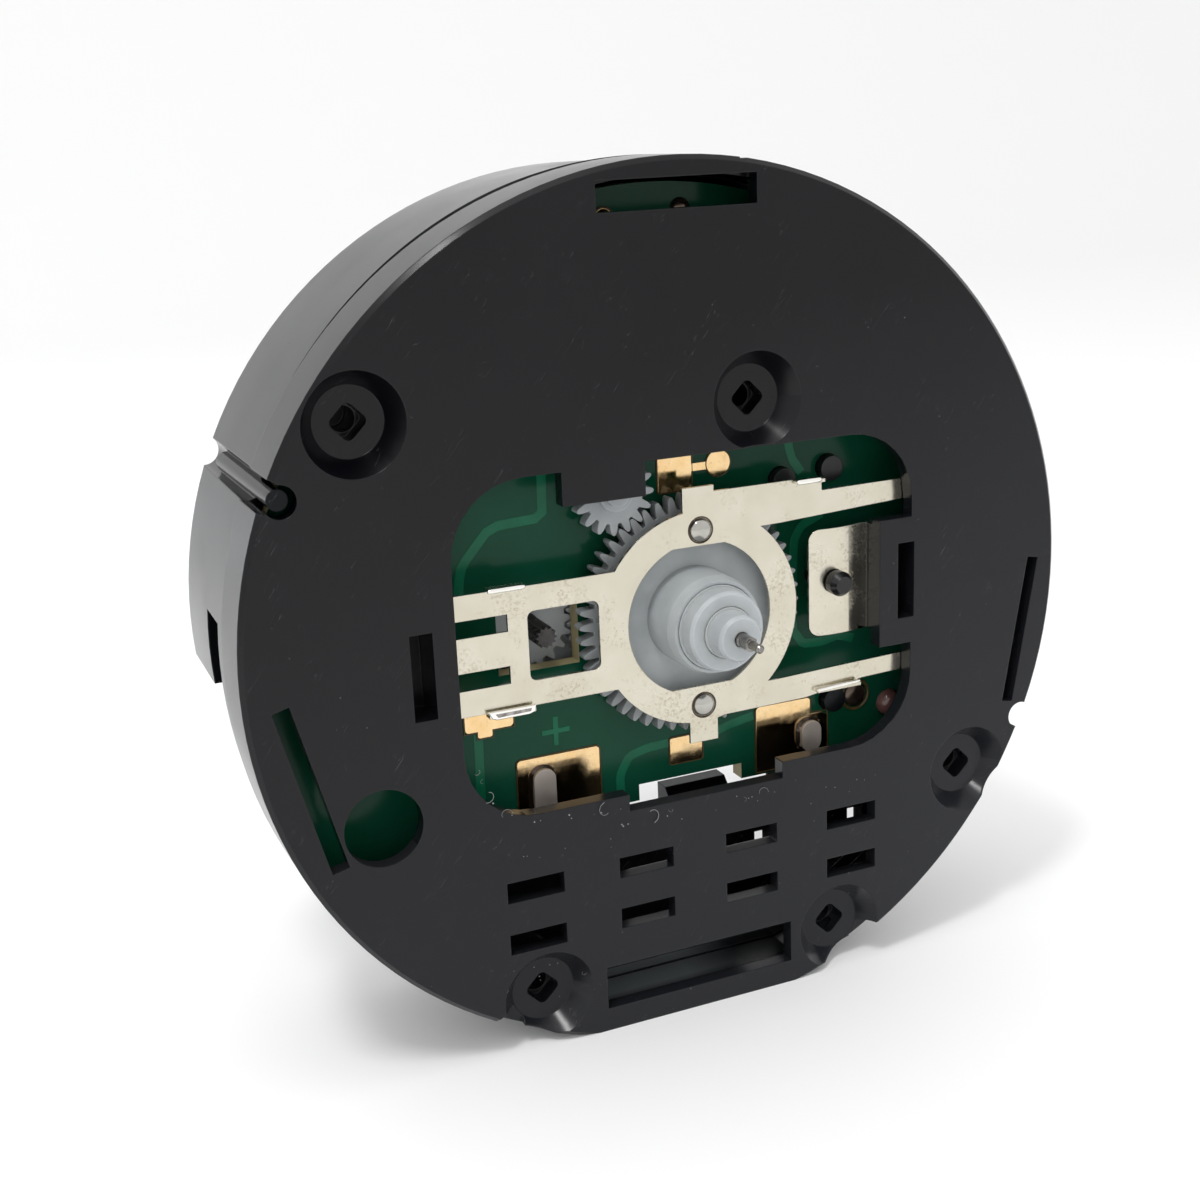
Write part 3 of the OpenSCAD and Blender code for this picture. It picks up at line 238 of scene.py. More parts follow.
def make_painted_floor_light():
    """Mask of the painted light on the floor behind the low window, strongest at its left."""
    # The group pale_floor paints light onto the floor behind the low window.
    tree, inside, outside = new_group("pale_floor", [("Strength", FLOAT, 1.0)], [("Mask", FLOAT)])
    place = split_vector(tree, in_millimetres(tree))
    low = math_node(tree, "LESS_THAN", place["Z"], LOW_FLOOR_Z)
    behind = math_node(tree, "MULTIPLY", math_node(tree, "GREATER_THAN", place["X"], LOW_WINDOW_LEFT_X),
                       ramp(tree, place["Y"], 1.9, 3.4))
    left = ramp(tree, place["X"], -1.0, 4.5, 1.0, 0.1)
    amount = math_node(tree, "MULTIPLY", math_node(tree, "MULTIPLY", facing_up(tree), low),
                       math_node(tree, "MULTIPLY", behind, left))
    link(tree, math_node(tree, "MULTIPLY", amount, inside.outputs["Strength"]), outside.inputs["Mask"])
    return tree


def make_lathe_rings():
    """Mask of the grooves that a lathe leaves round an axis along Y."""
    tree, inside, outside = new_group("lathe_rings", [("Strength", FLOAT, 1.0)], [("Mask", FLOAT)])
    along = split_vector(tree, in_millimetres(tree))["Y"]
    wave = math_node(tree, "SINE", math_node(tree, "MULTIPLY", along, 24.0))
    groove = math_node(tree, "MULTIPLY", ramp(tree, wave, 0.4, 1.0), inside.outputs["Strength"])
    link(tree, groove, outside.inputs["Mask"])
    return tree


EDGE_WEAR = make_edge_wear()
DUST = make_dust()
SCRATCHES = make_scratches()
GRAIN = make_grain()
PAINTED_FLOOR_LIGHT = make_painted_floor_light()
LATHE_RINGS = make_lathe_rings()


def use_group(tree, group, **values):
    made = tree.nodes.new("ShaderNodeGroup")
    made.node_tree = group
    for name, value in values.items():
        made.inputs[name.replace("_", " ")].default_value = value
    return made


def mix_colour(tree, amount, a, b):
    """Colour a turning into b as the amount goes from 0 to 1."""
    made = tree.nodes.new("ShaderNodeMix")
    made.data_type = "RGBA"
    link(tree, amount, made.inputs["Factor"])
    for value, socket in ((a, made.inputs["A"]), (b, made.inputs["B"])):
        if isinstance(value, tuple):
            socket.default_value = (*value, 1.0)
        else:
            link(tree, value, socket)
    return made.outputs["Result"]


def finish(name, colour, slow_colour, roughness, edge_colour=None, metallic=0.0, edge_mm=0.15,
           fine=14.0, slow=0.25, bump=0.00002, dust=0.0, speck=0.12, dust_colour=(0.35, 0.35, 0.36),
           scratch=0.0, rough_spread=0.08, subsurface=0.0, coat=0.0, specular=0.5, tint=(1.0, 1.0, 1.0),
           ior=1.5, extra=None):
    """One material: colour that drifts slowly, worn edges, dust, scratches, grain in its bump."""
    made = bpy.data.materials.new(name)
    made.use_nodes = True
    tree = made.node_tree
    shader = tree.nodes["Principled BSDF"]
    shader.inputs["Metallic"].default_value = metallic
    shader.inputs["Specular IOR Level"].default_value = specular
    shader.inputs["IOR"].default_value = ior
    shader.inputs["Specular Tint"].default_value = (*tint, 1.0)
    shader.inputs["Coat Weight"].default_value = coat
    shader.inputs["Coat Roughness"].default_value = 0.12
    if subsurface:
        shader.inputs["Subsurface Weight"].default_value = subsurface
        shader.inputs["Subsurface Radius"].default_value = (0.0012, 0.0012, 0.0014)
        shader.inputs["Subsurface Scale"].default_value = 1.0
    grain = use_group(tree, GRAIN, Fine_Scale=fine, Slow_Scale=slow)
    edge = use_group(tree, EDGE_WEAR, Radius=edge_mm * MM)
    drift = ramp(tree, grain.outputs["Slow"], 0.35, 0.65)
    shown = mix_colour(tree, drift, colour, slow_colour)
    rough = ramp(tree, grain.outputs["Slow"], 0.3, 0.7, roughness - rough_spread, roughness + rough_spread)
    if extra:
        shown, rough = extra(tree, shown, rough)
    if edge_colour:
        shown = mix_colour(tree, edge.outputs["Mask"], shown, edge_colour)
    if scratch:
        lines = use_group(tree, SCRATCHES, Turn=0.9, Width=scratch)
        faint = math_node(tree, "MULTIPLY", lines.outputs["Mask"], 0.45)
        shown = mix_colour(tree, faint, shown, dust_colour)
    if dust:
        specks = use_group(tree, DUST, Amount=dust, Speck_Size=speck)
        shown = mix_colour(tree, specks.outputs["Mask"], shown, dust_colour)
        rough = math_node(tree, "ADD", rough, math_node(tree, "MULTIPLY", specks.outputs["Mask"], 0.3))
    link(tree, shown, shader.inputs["Base Color"])
    link(tree, rough, shader.inputs["Roughness"])
    raised = tree.nodes.new("ShaderNodeBump")
    raised.inputs["Distance"].default_value = bump
    raised.inputs["Strength"].default_value = 0.6
    link(tree, grain.outputs["Height"], raised.inputs["Height"])
    link(tree, edge.outputs["Normal"], raised.inputs["Normal"])
    link(tree, raised.outputs[0], shader.inputs["Normal"])
    return made


def stained(tree, shown, rough):
    """Brown freckles of age on the plated springs."""
    place = in_millimetres(tree)
    patch = node(tree, "ShaderNodeTexNoise", Scale=0.22, Detail=5.0, Roughness=0.7)
    freckle = node(tree, "ShaderNodeTexNoise", Scale=3.5, Detail=3.0, Roughness=0.7)
    link(tree, place, patch.inputs["Vector"])
    link(tree, place, freckle.inputs["Vector"])
    where = math_node(tree, "MULTIPLY", ramp(tree, patch.outputs["Fac"], 0.5, 0.66),
                      ramp(tree, freckle.outputs["Fac"], 0.48, 0.62))
    shown = mix_colour(tree, math_node(tree, "MULTIPLY", where, 0.36), shown, (0.33, 0.26, 0.16))
    return shown, math_node(tree, "ADD", rough, math_node(tree, "MULTIPLY", where, 0.2))


def tarnished(tree, shown, rough):
    """Small brown pits and dull blooms in the gold."""
    place = in_millimetres(tree)
    pits = node(tree, "ShaderNodeTexNoise", Scale=5.0, Detail=3.0, Roughness=0.75)
    bloom = node(tree, "ShaderNodeTexNoise", Scale=0.9, Detail=4.0, Roughness=0.6)
    link(tree, place, pits.inputs["Vector"])
    link(tree, place, bloom.inputs["Vector"])
    pit = math_node(tree, "MULTIPLY", ramp(tree, pits.outputs["Fac"], 0.6, 0.7), 0.7)
    dull = ramp(tree, bloom.outputs["Fac"], 0.5, 0.7, 0.0, 0.12)
    return mix_colour(tree, pit, shown, (0.3, 0.17, 0.06)), math_node(tree, "ADD", rough, dull)


def paint_floor_light(tree, shown, rough):
    """Painted light: the floor seen through the low window is painted paler at its left, where it catches
    light.
    """
    pale = use_group(tree, PAINTED_FLOOR_LIGHT, Strength=1.0)
    return mix_colour(tree, pale.outputs["Mask"], shown, (0.17, 0.19, 0.2)), rough


def paint_lower_reflection(tree, shown, rough):
    """Painted reflection: the plate is painted greyer towards its lower right; the sill of its window is
    dull.
    """
    place = split_vector(tree, in_millimetres(tree))
    along = math_node(tree, "SUBTRACT", math_node(tree, "MULTIPLY", place["X"], 0.45), place["Z"])
    # Painted reflection, lighter towards the lower right.
    amount = ramp(tree, along, -22.0, 45.0)
    from_sill = math_node(tree, "ABSOLUTE", math_node(tree, "SUBTRACT", place["Z"], WINDOW_SILL_Z))
    at_sill = math_node(tree, "LESS_THAN", from_sill, 1.5)
    dull = math_node(tree, "MULTIPLY", math_node(tree, "MULTIPLY", facing_up(tree), at_sill), 0.5)
    return paint_floor_light(tree, mix_colour(tree, amount, shown, (0.0135, 0.0145, 0.0175)),
                       math_node(tree, "ADD", rough, dull))


def paint_teeth_shade(tree, shown, rough):
    """Painted shade: the toothed edge of the alarm wheel is painted greyer than its disc."""
    place = split_vector(tree, in_millimetres(tree))
    squares = [math_node(tree, "POWER", place[axis], 2.0) for axis in "XZ"]
    radius = math_node(tree, "SQRT", math_node(tree, "ADD", *squares))
    return mix_colour(tree, ramp(tree, radius, 7.6, 8.8), shown, (0.275, 0.29, 0.295)), rough


def turned(tree, shown, rough):
    """Fine rings left by the lathe, with painted shade darkening their grooves."""
    groove = use_group(tree, LATHE_RINGS, Strength=0.5).outputs["Mask"]
    return mix_colour(tree, groove, shown, (0.09, 0.085, 0.08)), math_node(
        tree, "ADD", rough, math_node(tree, "MULTIPLY", groove, 0.15))


def cut_edges(tree, shown, rough):
    """The side of the board is bare tan laminate."""
    side = math_node(tree, "LESS_THAN", math_node(tree, "ABSOLUTE", split_normal(tree)["Y"]), 0.5)
    return mix_colour(tree, side, shown, (0.42, 0.36, 0.2)), math_node(
        tree, "ADD", rough, math_node(tree, "MULTIPLY", side, 0.35))


PLATE = finish("plate_plastic", (0.0012, 0.0012, 0.0022), (0.0022, 0.0022, 0.0034), 0.2,
               (0.013, 0.0135, 0.015), edge_mm=0.16, fine=22.0, slow=0.06, bump=0.000005, dust=0.12,
               speck=0.07, dust_colour=(0.09, 0.092, 0.098), scratch=0.0013, specular=0.49,
               ior=1.35, rough_spread=0.05, extra=paint_lower_reflection)
# The housing carries the painted light on the floor behind the low window.
HOUSING = finish("housing_plastic", (0.0026, 0.0028, 0.0032), (0.004, 0.0043, 0.005), 0.17,
                 (0.02, 0.021, 0.023), edge_mm=0.16, fine=10.0, slow=0.09, bump=0.000006, dust=0.1,
                 speck=0.08, dust_colour=(0.1, 0.1, 0.105), scratch=0.0016, specular=1.0, rough_spread=0.05,
                 ior=1.18, tint=(0.86, 0.94, 1.0), extra=paint_floor_light)
BOARD = finish("board_mask", (0.003, 0.052, 0.026), (0.005, 0.066, 0.036), 0.16, None, edge_mm=0.05,
               fine=6.0, slow=0.12, bump=0.000004, specular=0.16, extra=cut_edges)
TRACK = finish("track_mask", (0.006, 0.112, 0.056), (0.009, 0.135, 0.07), 0.2, None, edge_mm=0.05,
               fine=6.0, slow=0.4, bump=0.000004, specular=0.2)
NICKEL = finish("nickel_plate", (0.585, 0.55, 0.445), (0.65, 0.615, 0.515), 0.2, (0.85, 0.83, 0.77),
                metallic=1.0, edge_mm=0.1, fine=9.0, slow=0.3, bump=0.000008, extra=stained)
# A lighter copy of the nickel for the rolled lips: painted highlight.
NICKEL_PAINTED_HIGHLIGHT = finish("bright_nickel", (0.86, 0.84, 0.79), (0.92, 0.9, 0.86), 0.09, (1.0, 0.98, 0.95),
                       metallic=1.0, edge_mm=0.05, fine=9.0, slow=0.6, bump=0.000003)
# A darker copy of the nickel for the dimples: painted shade.
DIMPLE_SHADED_NICKEL = finish("polished_dimple", (0.42, 0.41, 0.375), (0.5, 0.49, 0.455), 0.17, (0.6, 0.59, 0.55),
                metallic=1.0, edge_mm=0.05, fine=9.0, slow=0.6, bump=0.000003)
LIP_SHADOW_PAINT = finish("brushed_shadow", (0.2, 0.18, 0.17), (0.42, 0.4, 0.38), 0.35, None, metallic=1.0,
                      edge_mm=0.05, fine=14.0, slow=3.0, bump=0.00001)
GOLD = finish("pad_gold", (0.80, 0.55, 0.27), (0.86, 0.63, 0.35), 0.1, (0.9, 0.7, 0.42), metallic=1.0,
              edge_mm=0.06, fine=5.0, slow=0.6, bump=0.000006, rough_spread=0.05, extra=tarnished)
MASK_RIM = finish("mask_rim", (0.05, 0.032, 0.008), (0.085, 0.055, 0.014), 0.35, None, edge_mm=0.04,
                  fine=8.0, slow=1.2, bump=0.00001)
ACETAL = finish("white_acetal", (0.385, 0.41, 0.42), (0.44, 0.465, 0.475), 0.38, (0.54, 0.56, 0.57),
                edge_mm=0.12, fine=8.0, slow=0.4, bump=0.000012, subsurface=0.55, specular=0.35)
TOOTHED = finish("toothed_acetal", (0.36, 0.385, 0.395), (0.42, 0.445, 0.455), 0.38, (0.34, 0.355, 0.365),
                 edge_mm=0.12, fine=8.0, slow=0.4, bump=0.000012, subsurface=0.35, specular=0.3,
                 extra=paint_teeth_shade)
SETTING = finish("setting_acetal", (0.3, 0.32, 0.33), (0.36, 0.38, 0.39), 0.4, (0.44, 0.46, 0.47),
                 edge_mm=0.12, fine=8.0, slow=0.4, bump=0.000012, subsurface=0.3, specular=0.3)
INNER_ACETAL = finish("inner_acetal", (0.6, 0.57, 0.5), (0.68, 0.65, 0.58), 0.45, (0.75, 0.73, 0.68),
                      edge_mm=0.1, fine=8.0, slow=0.4, bump=0.000012, subsurface=0.2)
STEEL = finish("turned_steel", (0.2, 0.19, 0.18), (0.34, 0.33, 0.31), 0.24, (0.6, 0.59, 0.57),
               metallic=1.0, edge_mm=0.06, fine=16.0, slow=0.8, bump=0.00001, extra=turned)
TIN = finish("tin_plate", (0.42, 0.37, 0.33), (0.5, 0.45, 0.405), 0.46, (0.66, 0.6, 0.55), metallic=0.55,
             edge_mm=0.12, fine=8.0, slow=0.5, bump=0.000008)
# Dark solder, also used as painted shade.
SOLDER_AND_SHADE = finish("solder", (0.05, 0.035, 0.028), (0.12, 0.09, 0.07), 0.16, (0.2, 0.15, 0.11), metallic=0.8,
                edge_mm=0.1, fine=4.0, slow=0.9, bump=0.00004)
BLACK = finish("black_pins", (0.004, 0.004, 0.005), (0.008, 0.008, 0.009), 0.22, (0.05, 0.05, 0.055),
               edge_mm=0.1, fine=12.0, slow=0.5, bump=0.00001, specular=0.45)
KNOB = finish("knob_plastic", (0.006, 0.0065, 0.007), (0.010, 0.0105, 0.011), 0.3, (0.05, 0.052, 0.055),
              edge_mm=0.15, fine=14.0, slow=0.3, bump=0.00002, dust=0.15, speck=0.08)
MAGNET = finish("sintered_magnet", (0.07, 0.07, 0.075), (0.1, 0.1, 0.105), 0.5, (0.2, 0.2, 0.2),
                metallic=0.6, edge_mm=0.08)
IRON = finish("stamped_iron", (0.42, 0.42, 0.42), (0.5, 0.5, 0.5), 0.35, (0.65, 0.65, 0.65), metallic=1.0,
              edge_mm=0.1)
COPPER = finish("enamelled_wire", (0.42, 0.13, 0.04), (0.5, 0.18, 0.06), 0.3, (0.6, 0.25, 0.1),
                metallic=1.0, edge_mm=0.1)
BRIDGE = finish("bridge_plastic", (0.006, 0.006, 0.007), (0.011, 0.011, 0.012), 0.3, (0.04, 0.041, 0.043),
                edge_mm=0.12, specular=0.4)
ZINC = finish("zinc_screws", (0.5, 0.5, 0.51), (0.6, 0.6, 0.6), 0.28, (0.75, 0.75, 0.75), metallic=1.0,
              edge_mm=0.08)
LAMP = finish("lamp_resin", (0.11, 0.05, 0.045), (0.2, 0.1, 0.09), 0.12, (0.5, 0.3, 0.28),
              edge_mm=0.05, coat=0.5)
DARK_STEEL = finish("dark_steel", (0.028, 0.027, 0.026), (0.055, 0.052, 0.05), 0.3, (0.09, 0.087, 0.083),
                    metallic=0.6, edge_mm=0.06, fine=16.0, slow=0.8, bump=0.00001, extra=turned)
# Matte black for the painted shadow in the seam.
SEAM_SHADOW = finish("seam_shadow", (0.0015, 0.0015, 0.002), (0.003, 0.003, 0.004), 0.8, None, edge_mm=0.02,
              specular=0.05)
SLIDER = finish("slider_plastic", (0.42, 0.44, 0.46), (0.48, 0.5, 0.52), 0.45, (0.6, 0.62, 0.64),
                edge_mm=0.12)
LINT = finish("lint", (0.2, 0.2, 0.205), (0.3, 0.3, 0.305), 0.8, None, edge_mm=0.01)

# The finish of each material slot in the record
FINISHES = {
    "front_plate": PLATE, "rear_housing": HOUSING, "circuit_board": BOARD, "pads": GOLD, "nickel": NICKEL,
    "black_pins": BLACK, "white_gears": ACETAL, "inner_gears": INNER_ACETAL, "knobs": KNOB, "arbors": STEEL,
    "magnet": MAGNET, "motor_iron": IRON, "winding": COPPER, "bridges": BRIDGE, "screws": ZINC,
    "contacts": TIN, "lamp": LAMP, "slider": SLIDER,
}
# Pieces that differ a little from the rest of their slot
OWN_FINISHES = {"setting_arbor": DARK_STEEL, "alarm_wheel": TOOTHED, "alarm_setting_wheel": SETTING}
for part in frame["record"]["subparts"]:
    piece = frame["nodes"][part["node"]]
    piece.data.materials.clear()
    piece.data.materials.append(OWN_FINISHES.get(part["node"], FINISHES[part["material_slot"]]))


# Pieces of the scene that lie on the CAD parts


def at(x, y, z):
    """A point given in millimetres."""
    return Vector((x * MM, y * MM, z * MM))


def keep_piece(name, built, material, body=CASE, flat_angle=40.0):
    """Turns a bmesh into a piece of the scene that rides one body."""
    bmesh.ops.recalc_face_normals(built, faces=built.faces)
    mesh = bpy.data.meshes.new(name)
    built.to_mesh(mesh)
    built.free()
    mesh.materials.append(material)
    mesh.shade_smooth()
    piece = bpy.data.objects.new(name, mesh)
    bpy.context.collection.objects.link(piece)
    mesh.set_sharp_from_angle(angle=math.radians(flat_angle))
    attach(piece, body)


def softened(points, share=0.14):
    """Cuts the corners of a line of points a little."""
    cut = [points[0]]
    for (ax, az), (bx, bz) in zip(points, points[1:]):
        for f in (share, 1 - share):
            cut.append((ax + (bx - ax) * f, az + (bz - az) * f))
    return cut + [points[-1]]


def side_steps(points, closed):
    """The sideways unit step at each point of a line, longer where the line turns."""
    steps = []
    count = len(points)
    for i in range(count):
        before = points[i - 1] if (closed or i > 0) else None
        after = points[(i + 1) % count] if (closed or i < count - 1) else None
        here = Vector(points[i])
        ways = []
        if before is not None:
            ways.append((here - Vector(before)).normalized())
        if after is not None:
            ways.append((Vector(after) - here).normalized())
        normals = [Vector((-w.y, w.x)) for w in ways]
        if len(normals) == 1:
            steps.append(normals[0])
        else:
            middle = (normals[0] + normals[1]).normalized()
            steps.append(middle / max(middle.dot(normals[0]), 0.5))
    return steps


def join_rings(built, rings, closed=False):
    """Faces from each ring of points to the next. A ring of one point is a tip."""
    for one, two in zip(rings, rings[1:] + (rings[:1] if closed else [])):
        count = max(len(one), len(two))
        for i in range(count):
            j = (i + 1) % count
            if len(one) == 1:
                built.faces.new((one[0], two[i], two[j]))
            elif len(two) == 1:
                built.faces.new((one[i], one[j], two[0]))
            else:
                built.faces.new((one[i], one[j], two[j], two[i]))


def add_ribbon(built, points, width, back_y, front_y, closed=False, edge=0.1):
    """A raised strip along a line, with sloped edges."""
    half = width / 2
    profile = [(-half, back_y), (-half + edge, front_y), (half - edge, front_y), (half, back_y)]
    rows = []
    for (x, z), step in zip(points, side_steps(points, closed)):
        rows.append([built.verts.new(at(x + step.x * off, y, z + step.y * off)) for off, y in profile])
    join_rings(built, rows, closed)
    if not closed:
        built.faces.new(rows[0])
        built.faces.new(rows[-1])


def add_plate(built, outline, back_y, front_y, edge=0.08):
    """A thin flat piece with a bevelled front edge."""
    steps = side_steps(outline, True)
    area = sum(a[0] * b[1] - b[0] * a[1] for a, b in zip(outline, outline[1:] + outline[:1]))
    inward = 1.0 if area > 0 else -1.0
    back = [built.verts.new(at(x, back_y, z)) for x, z in outline]
    brim = [built.verts.new(at(x, front_y + edge, z)) for x, z in outline]
    front = [built.verts.new(at(x + s.x * edge * inward, front_y, z + s.y * edge * inward))
             for (x, z), s in zip(outline, steps)]
    count = len(outline)
    for i in range(count):
        j = (i + 1) % count
        built.faces.new((back[i], back[j], brim[j], brim[i]))
        built.faces.new((brim[i], brim[j], front[j], front[i]))
    built.faces.new(back)
    built.faces.new(front)


def add_lathe(built, centre, profile, turns=48):
    """A solid turned about the Y direction: (radius, y) pairs from one end to the other."""
    x0, z0 = centre
    rings = []
    for radius, y in profile:
        if radius < 1e-6:
            rings.append([built.verts.new(at(x0, y, z0))])
        else:
            rings.append([built.verts.new(at(x0 + radius * math.cos(a), y, z0 + radius * math.sin(a)))
                          for a in [2 * math.pi * i / turns for i in range(turns)]])
    join_rings(built, rings)
    for ring in (rings[0], rings[-1]):
        if len(ring) > 1:
            built.faces.new(ring)


def add_ring(built, centre, radius, y, thick, turns=48, sides=10):
    """A round wire ring about the Y direction."""
    x0, z0 = centre
    rows = []
    for i in range(turns):
        a = 2 * math.pi * i / turns
        row = []
        for k in range(sides):
            b = 2 * math.pi * k / sides
            r = radius + thick * math.cos(b)
            place = at(x0 + r * math.cos(a), y + thick * math.sin(b), z0 + r * math.sin(a))
            row.append(built.verts.new(place))
        rows.append(row)
    join_rings(built, rows, closed=True)


def add_roll(built, start, end, radius, sides=12):
    """A round bar along X between two points, with domed ends, as a rolled edge."""
    rows = []
    steps = [(-0.5, 0.0), (-0.49, 0.5), (-0.46, 0.8), (-0.4, 1.0), (0.0, 1.04), (0.4, 1.0), (0.46, 0.8),
             (0.49, 0.5), (0.5, 0.0)]
    angles = [2 * math.pi * k / sides for k in range(sides)]
    for along, size in steps:
        f = along + 0.5
        x, y, z = (start[i] + (end[i] - start[i]) * f for i in range(3))
        if size == 0.0:
            rows.append([built.verts.new(at(x, y, z))])
        else:
            rows.append([built.verts.new(at(x, y + size * radius * math.cos(a),
                                            z + size * radius * math.sin(a))) for a in angles])
    join_rings(built, rows)


# The lighter tracks of the board, as (x, z) lines
TRACKS = {
    "upper_left": [(-12.33, 14.2), (-12.33, 12.75), (-12.43, 9.64), (-17.0, 9.43), (-19.61, 6.55),
                   (-20.01, 4.94), (-20.1, 2.0)],
    "lower_left": [(-19.15, -8.0), (-19.2, -10.54), (-19.25, -12.93), (-19.25, -15.4)],
    "lower_middle": [(-6.35, -16.85), (-6.41, -14.34), (-5.46, -12.67), (-3.68, -12.25), (-1.41, -12.15)],
    "right": [(14.13, 6.47), (12.03, 5.62), (11.29, 4.42), (11.17, 2.16), (11.01, -3.78), (12.11, -5.3),
              (13.97, -5.44), (15.86, -5.07), (17.38, -5.66)],
    "upper_right": [(10.84, 14.2), (10.84, 12.78), (11.19, 11.64), (12.07, 10.42)],
    "below_disc": [(1.65, -12.4), (4.4, -11.6), (6.9, -11.2)],
}


def build_board_tracks():
    """The board's tracks and its plus sign."""
    built = bmesh.new()
    for line in TRACKS.values():
        add_ribbon(built, softened(line), 0.86, BOARD_Y + 0.03, BOARD_Y - 0.02, edge=0.03)
    arm, half = 1.3, 0.24
    mark_x, mark_z = 12.2, 9.05
    cross = [(half, half), (half, arm), (-half, arm), (-half, half), (-arm, half), (-arm, -half),
             (-half, -half), (-half, -arm), (half, -arm), (half, -half), (arm, -half), (arm, half)]
    mark = [(x - mark_x, z - mark_z) for x, z in cross]
    add_plate(built, mark, BOARD_Y + 0.03, BOARD_Y - 0.04, edge=0.03)
    keep_piece("board_tracks", built, TRACK)


def rounded_outline(x0, x1, z0, z1, radius, steps=6):
    """A rectangle with round corners, as (x, z) points."""
    points = []
    for cx, cz, start in ((x1 - radius, z1 - radius, 0), (x0 + radius, z1 - radius, 90),
                          (x0 + radius, z0 + radius, 180), (x1 - radius, z0 + radius, 270)):
        for i in range(steps + 1):
            a = math.radians(start + 90 * i / steps)
            points.append((cx + radius * math.cos(a), cz + radius * math.sin(a)))
    return points


def build_mask_rims():
    """The brown line where the mask ends round each pad."""
    built = bmesh.new()
    rims = [rounded_outline(-15.98, -8.22, -16.78, -11.02, 0.42),
            rounded_outline(-1.58, 1.73, -14.28, -11.72, 0.25),
            rounded_outline(-1.93, 1.38, 10.22, 13.58, 0.25)]
    right = [(7.07, -16.78), (14.58, -16.78), (14.58, -12.02), (12.83, -12.02), (12.83, -10.75),
             (12.5, -10.42), (7.4, -10.42), (7.07, -10.75)]
    left = [(-20.38, -7.88), (-19.28, -7.88), (-19.28, -8.48), (-17.82, -8.48), (-17.82, -7.88),
            (-15.92, -7.88), (-15.92, -5.22), (-20.38, -5.22)]
    for line in rims + [right, left]:
        add_ribbon(built, line, 0.15, BOARD_Y + 0.02, BOARD_Y - 0.115, closed=True, edge=0.04)
    keep_piece("mask_rims", built, MASK_RIM)
    rings = bmesh.new()
    add_ring(rings, (3.88, 12.25), 1.18, BOARD_Y - 0.06, 0.07)
    add_ring(rings, (-5.9, 33.2), 0.85, BOARD_Y - 0.06, 0.08)
    add_ring(rings, (17.57, -11.08), 1.4, BOARD_Y - 0.03, 0.14)
    keep_piece("mask_rings", rings, MASK_RIM)


def build_solder():
    """Solder round the two contact tabs, darkened under them as painted shadow, in the open joints and at
    the board's top.
    """
    built = bmesh.new()
    # A dark oval under each contact tab, a little wider than it: solder and painted shadow.
    for x, low, high in ((-13.7, -16.6, -12.0), (12.5, -15.45, -12.55)):
        outline = rounded_outline(x - 1.28, x + 1.28, low - 0.1, high + 0.22, 1.2)
        add_plate(built, outline, BOARD_Y - 0.06, BOARD_Y - 0.42, edge=0.3)
    for centre, radius, height in (((17.57, -11.08), 1.2, 0.35), ((0.9, 33.56), 0.9, 0.7),
                                   ((10.84, 13.9), 0.5, 0.3)):
        dome = [(radius, BOARD_Y + 0.02)] + [(radius * math.cos(a), BOARD_Y - height * math.sin(a))
                                            for a in [math.radians(t) for t in (10, 25, 40, 55, 70)]]
        add_lathe(built, centre, dome + [(0.0, BOARD_Y - height)], 32)
    keep_piece("solder_joints", built, SOLDER_AND_SHADE)


def build_bracket_trim():
    """Rolled lips of the bracket's flanges in a lighter nickel as painted highlight, a painted shadow under
    the lower flap, and its two polished dimples in a darker nickel as painted shade, ringed with painted
    shade.
    """
    built = bmesh.new()
    add_roll(built, (-19.1, 0.98, 5.3), (-15.8, 0.98, 5.3), 0.23)
    add_roll(built, (9.1, 1.0, 10.6), (11.6, 1.0, 10.62), 0.27)
    add_roll(built, (11.0, 1.02, -8.35), (15.5, 1.02, -8.15), 0.17)
    flap = [(-19.6, -4.75), (-15.45, -4.75), (-15.6, -5.3), (-16.1, -5.45), (-18.9, -5.45), (-19.3, -5.3)]
    add_plate(built, flap, 1.2, 0.86, edge=0.06)
    keep_piece("rolled_lips", built, NICKEL_PAINTED_HIGHLIGHT)
    # A dark sheet under the lower flap: painted shadow.
    shadow = bmesh.new()
    under_flap = [(-19.05, -4.93), (-15.85, -4.93), (-15.95, -5.2), (-18.8, -5.26)]
    add_plate(shadow, under_flap, 0.9, 0.84, edge=0.02)
    keep_piece("lip_shadow", shadow, LIP_SHADOW_PAINT)
    domes = bmesh.new()
    grooves = bmesh.new()
    ball, foot_y, rise = 1.02, 1.56, 0.62
    for centre in ((0.2, 7.6), (0.1, -7.8)):
        profile = [(ball * math.cos(math.radians(t)), foot_y - rise * math.sin(math.radians(t)))
                   for t in range(0, 90, 9)]
        add_lathe(domes, centre, profile + [(0.0, 0.94)], 48)
        # Dark rings in the crease round each dimple: painted shade.
        add_ring(grooves, centre, 1.1, 1.49, 0.075)
    keep_piece("polished_dimples", domes, DIMPLE_SHADED_NICKEL)
    keep_piece("dimple_grooves", grooves, SOLDER_AND_SHADE)


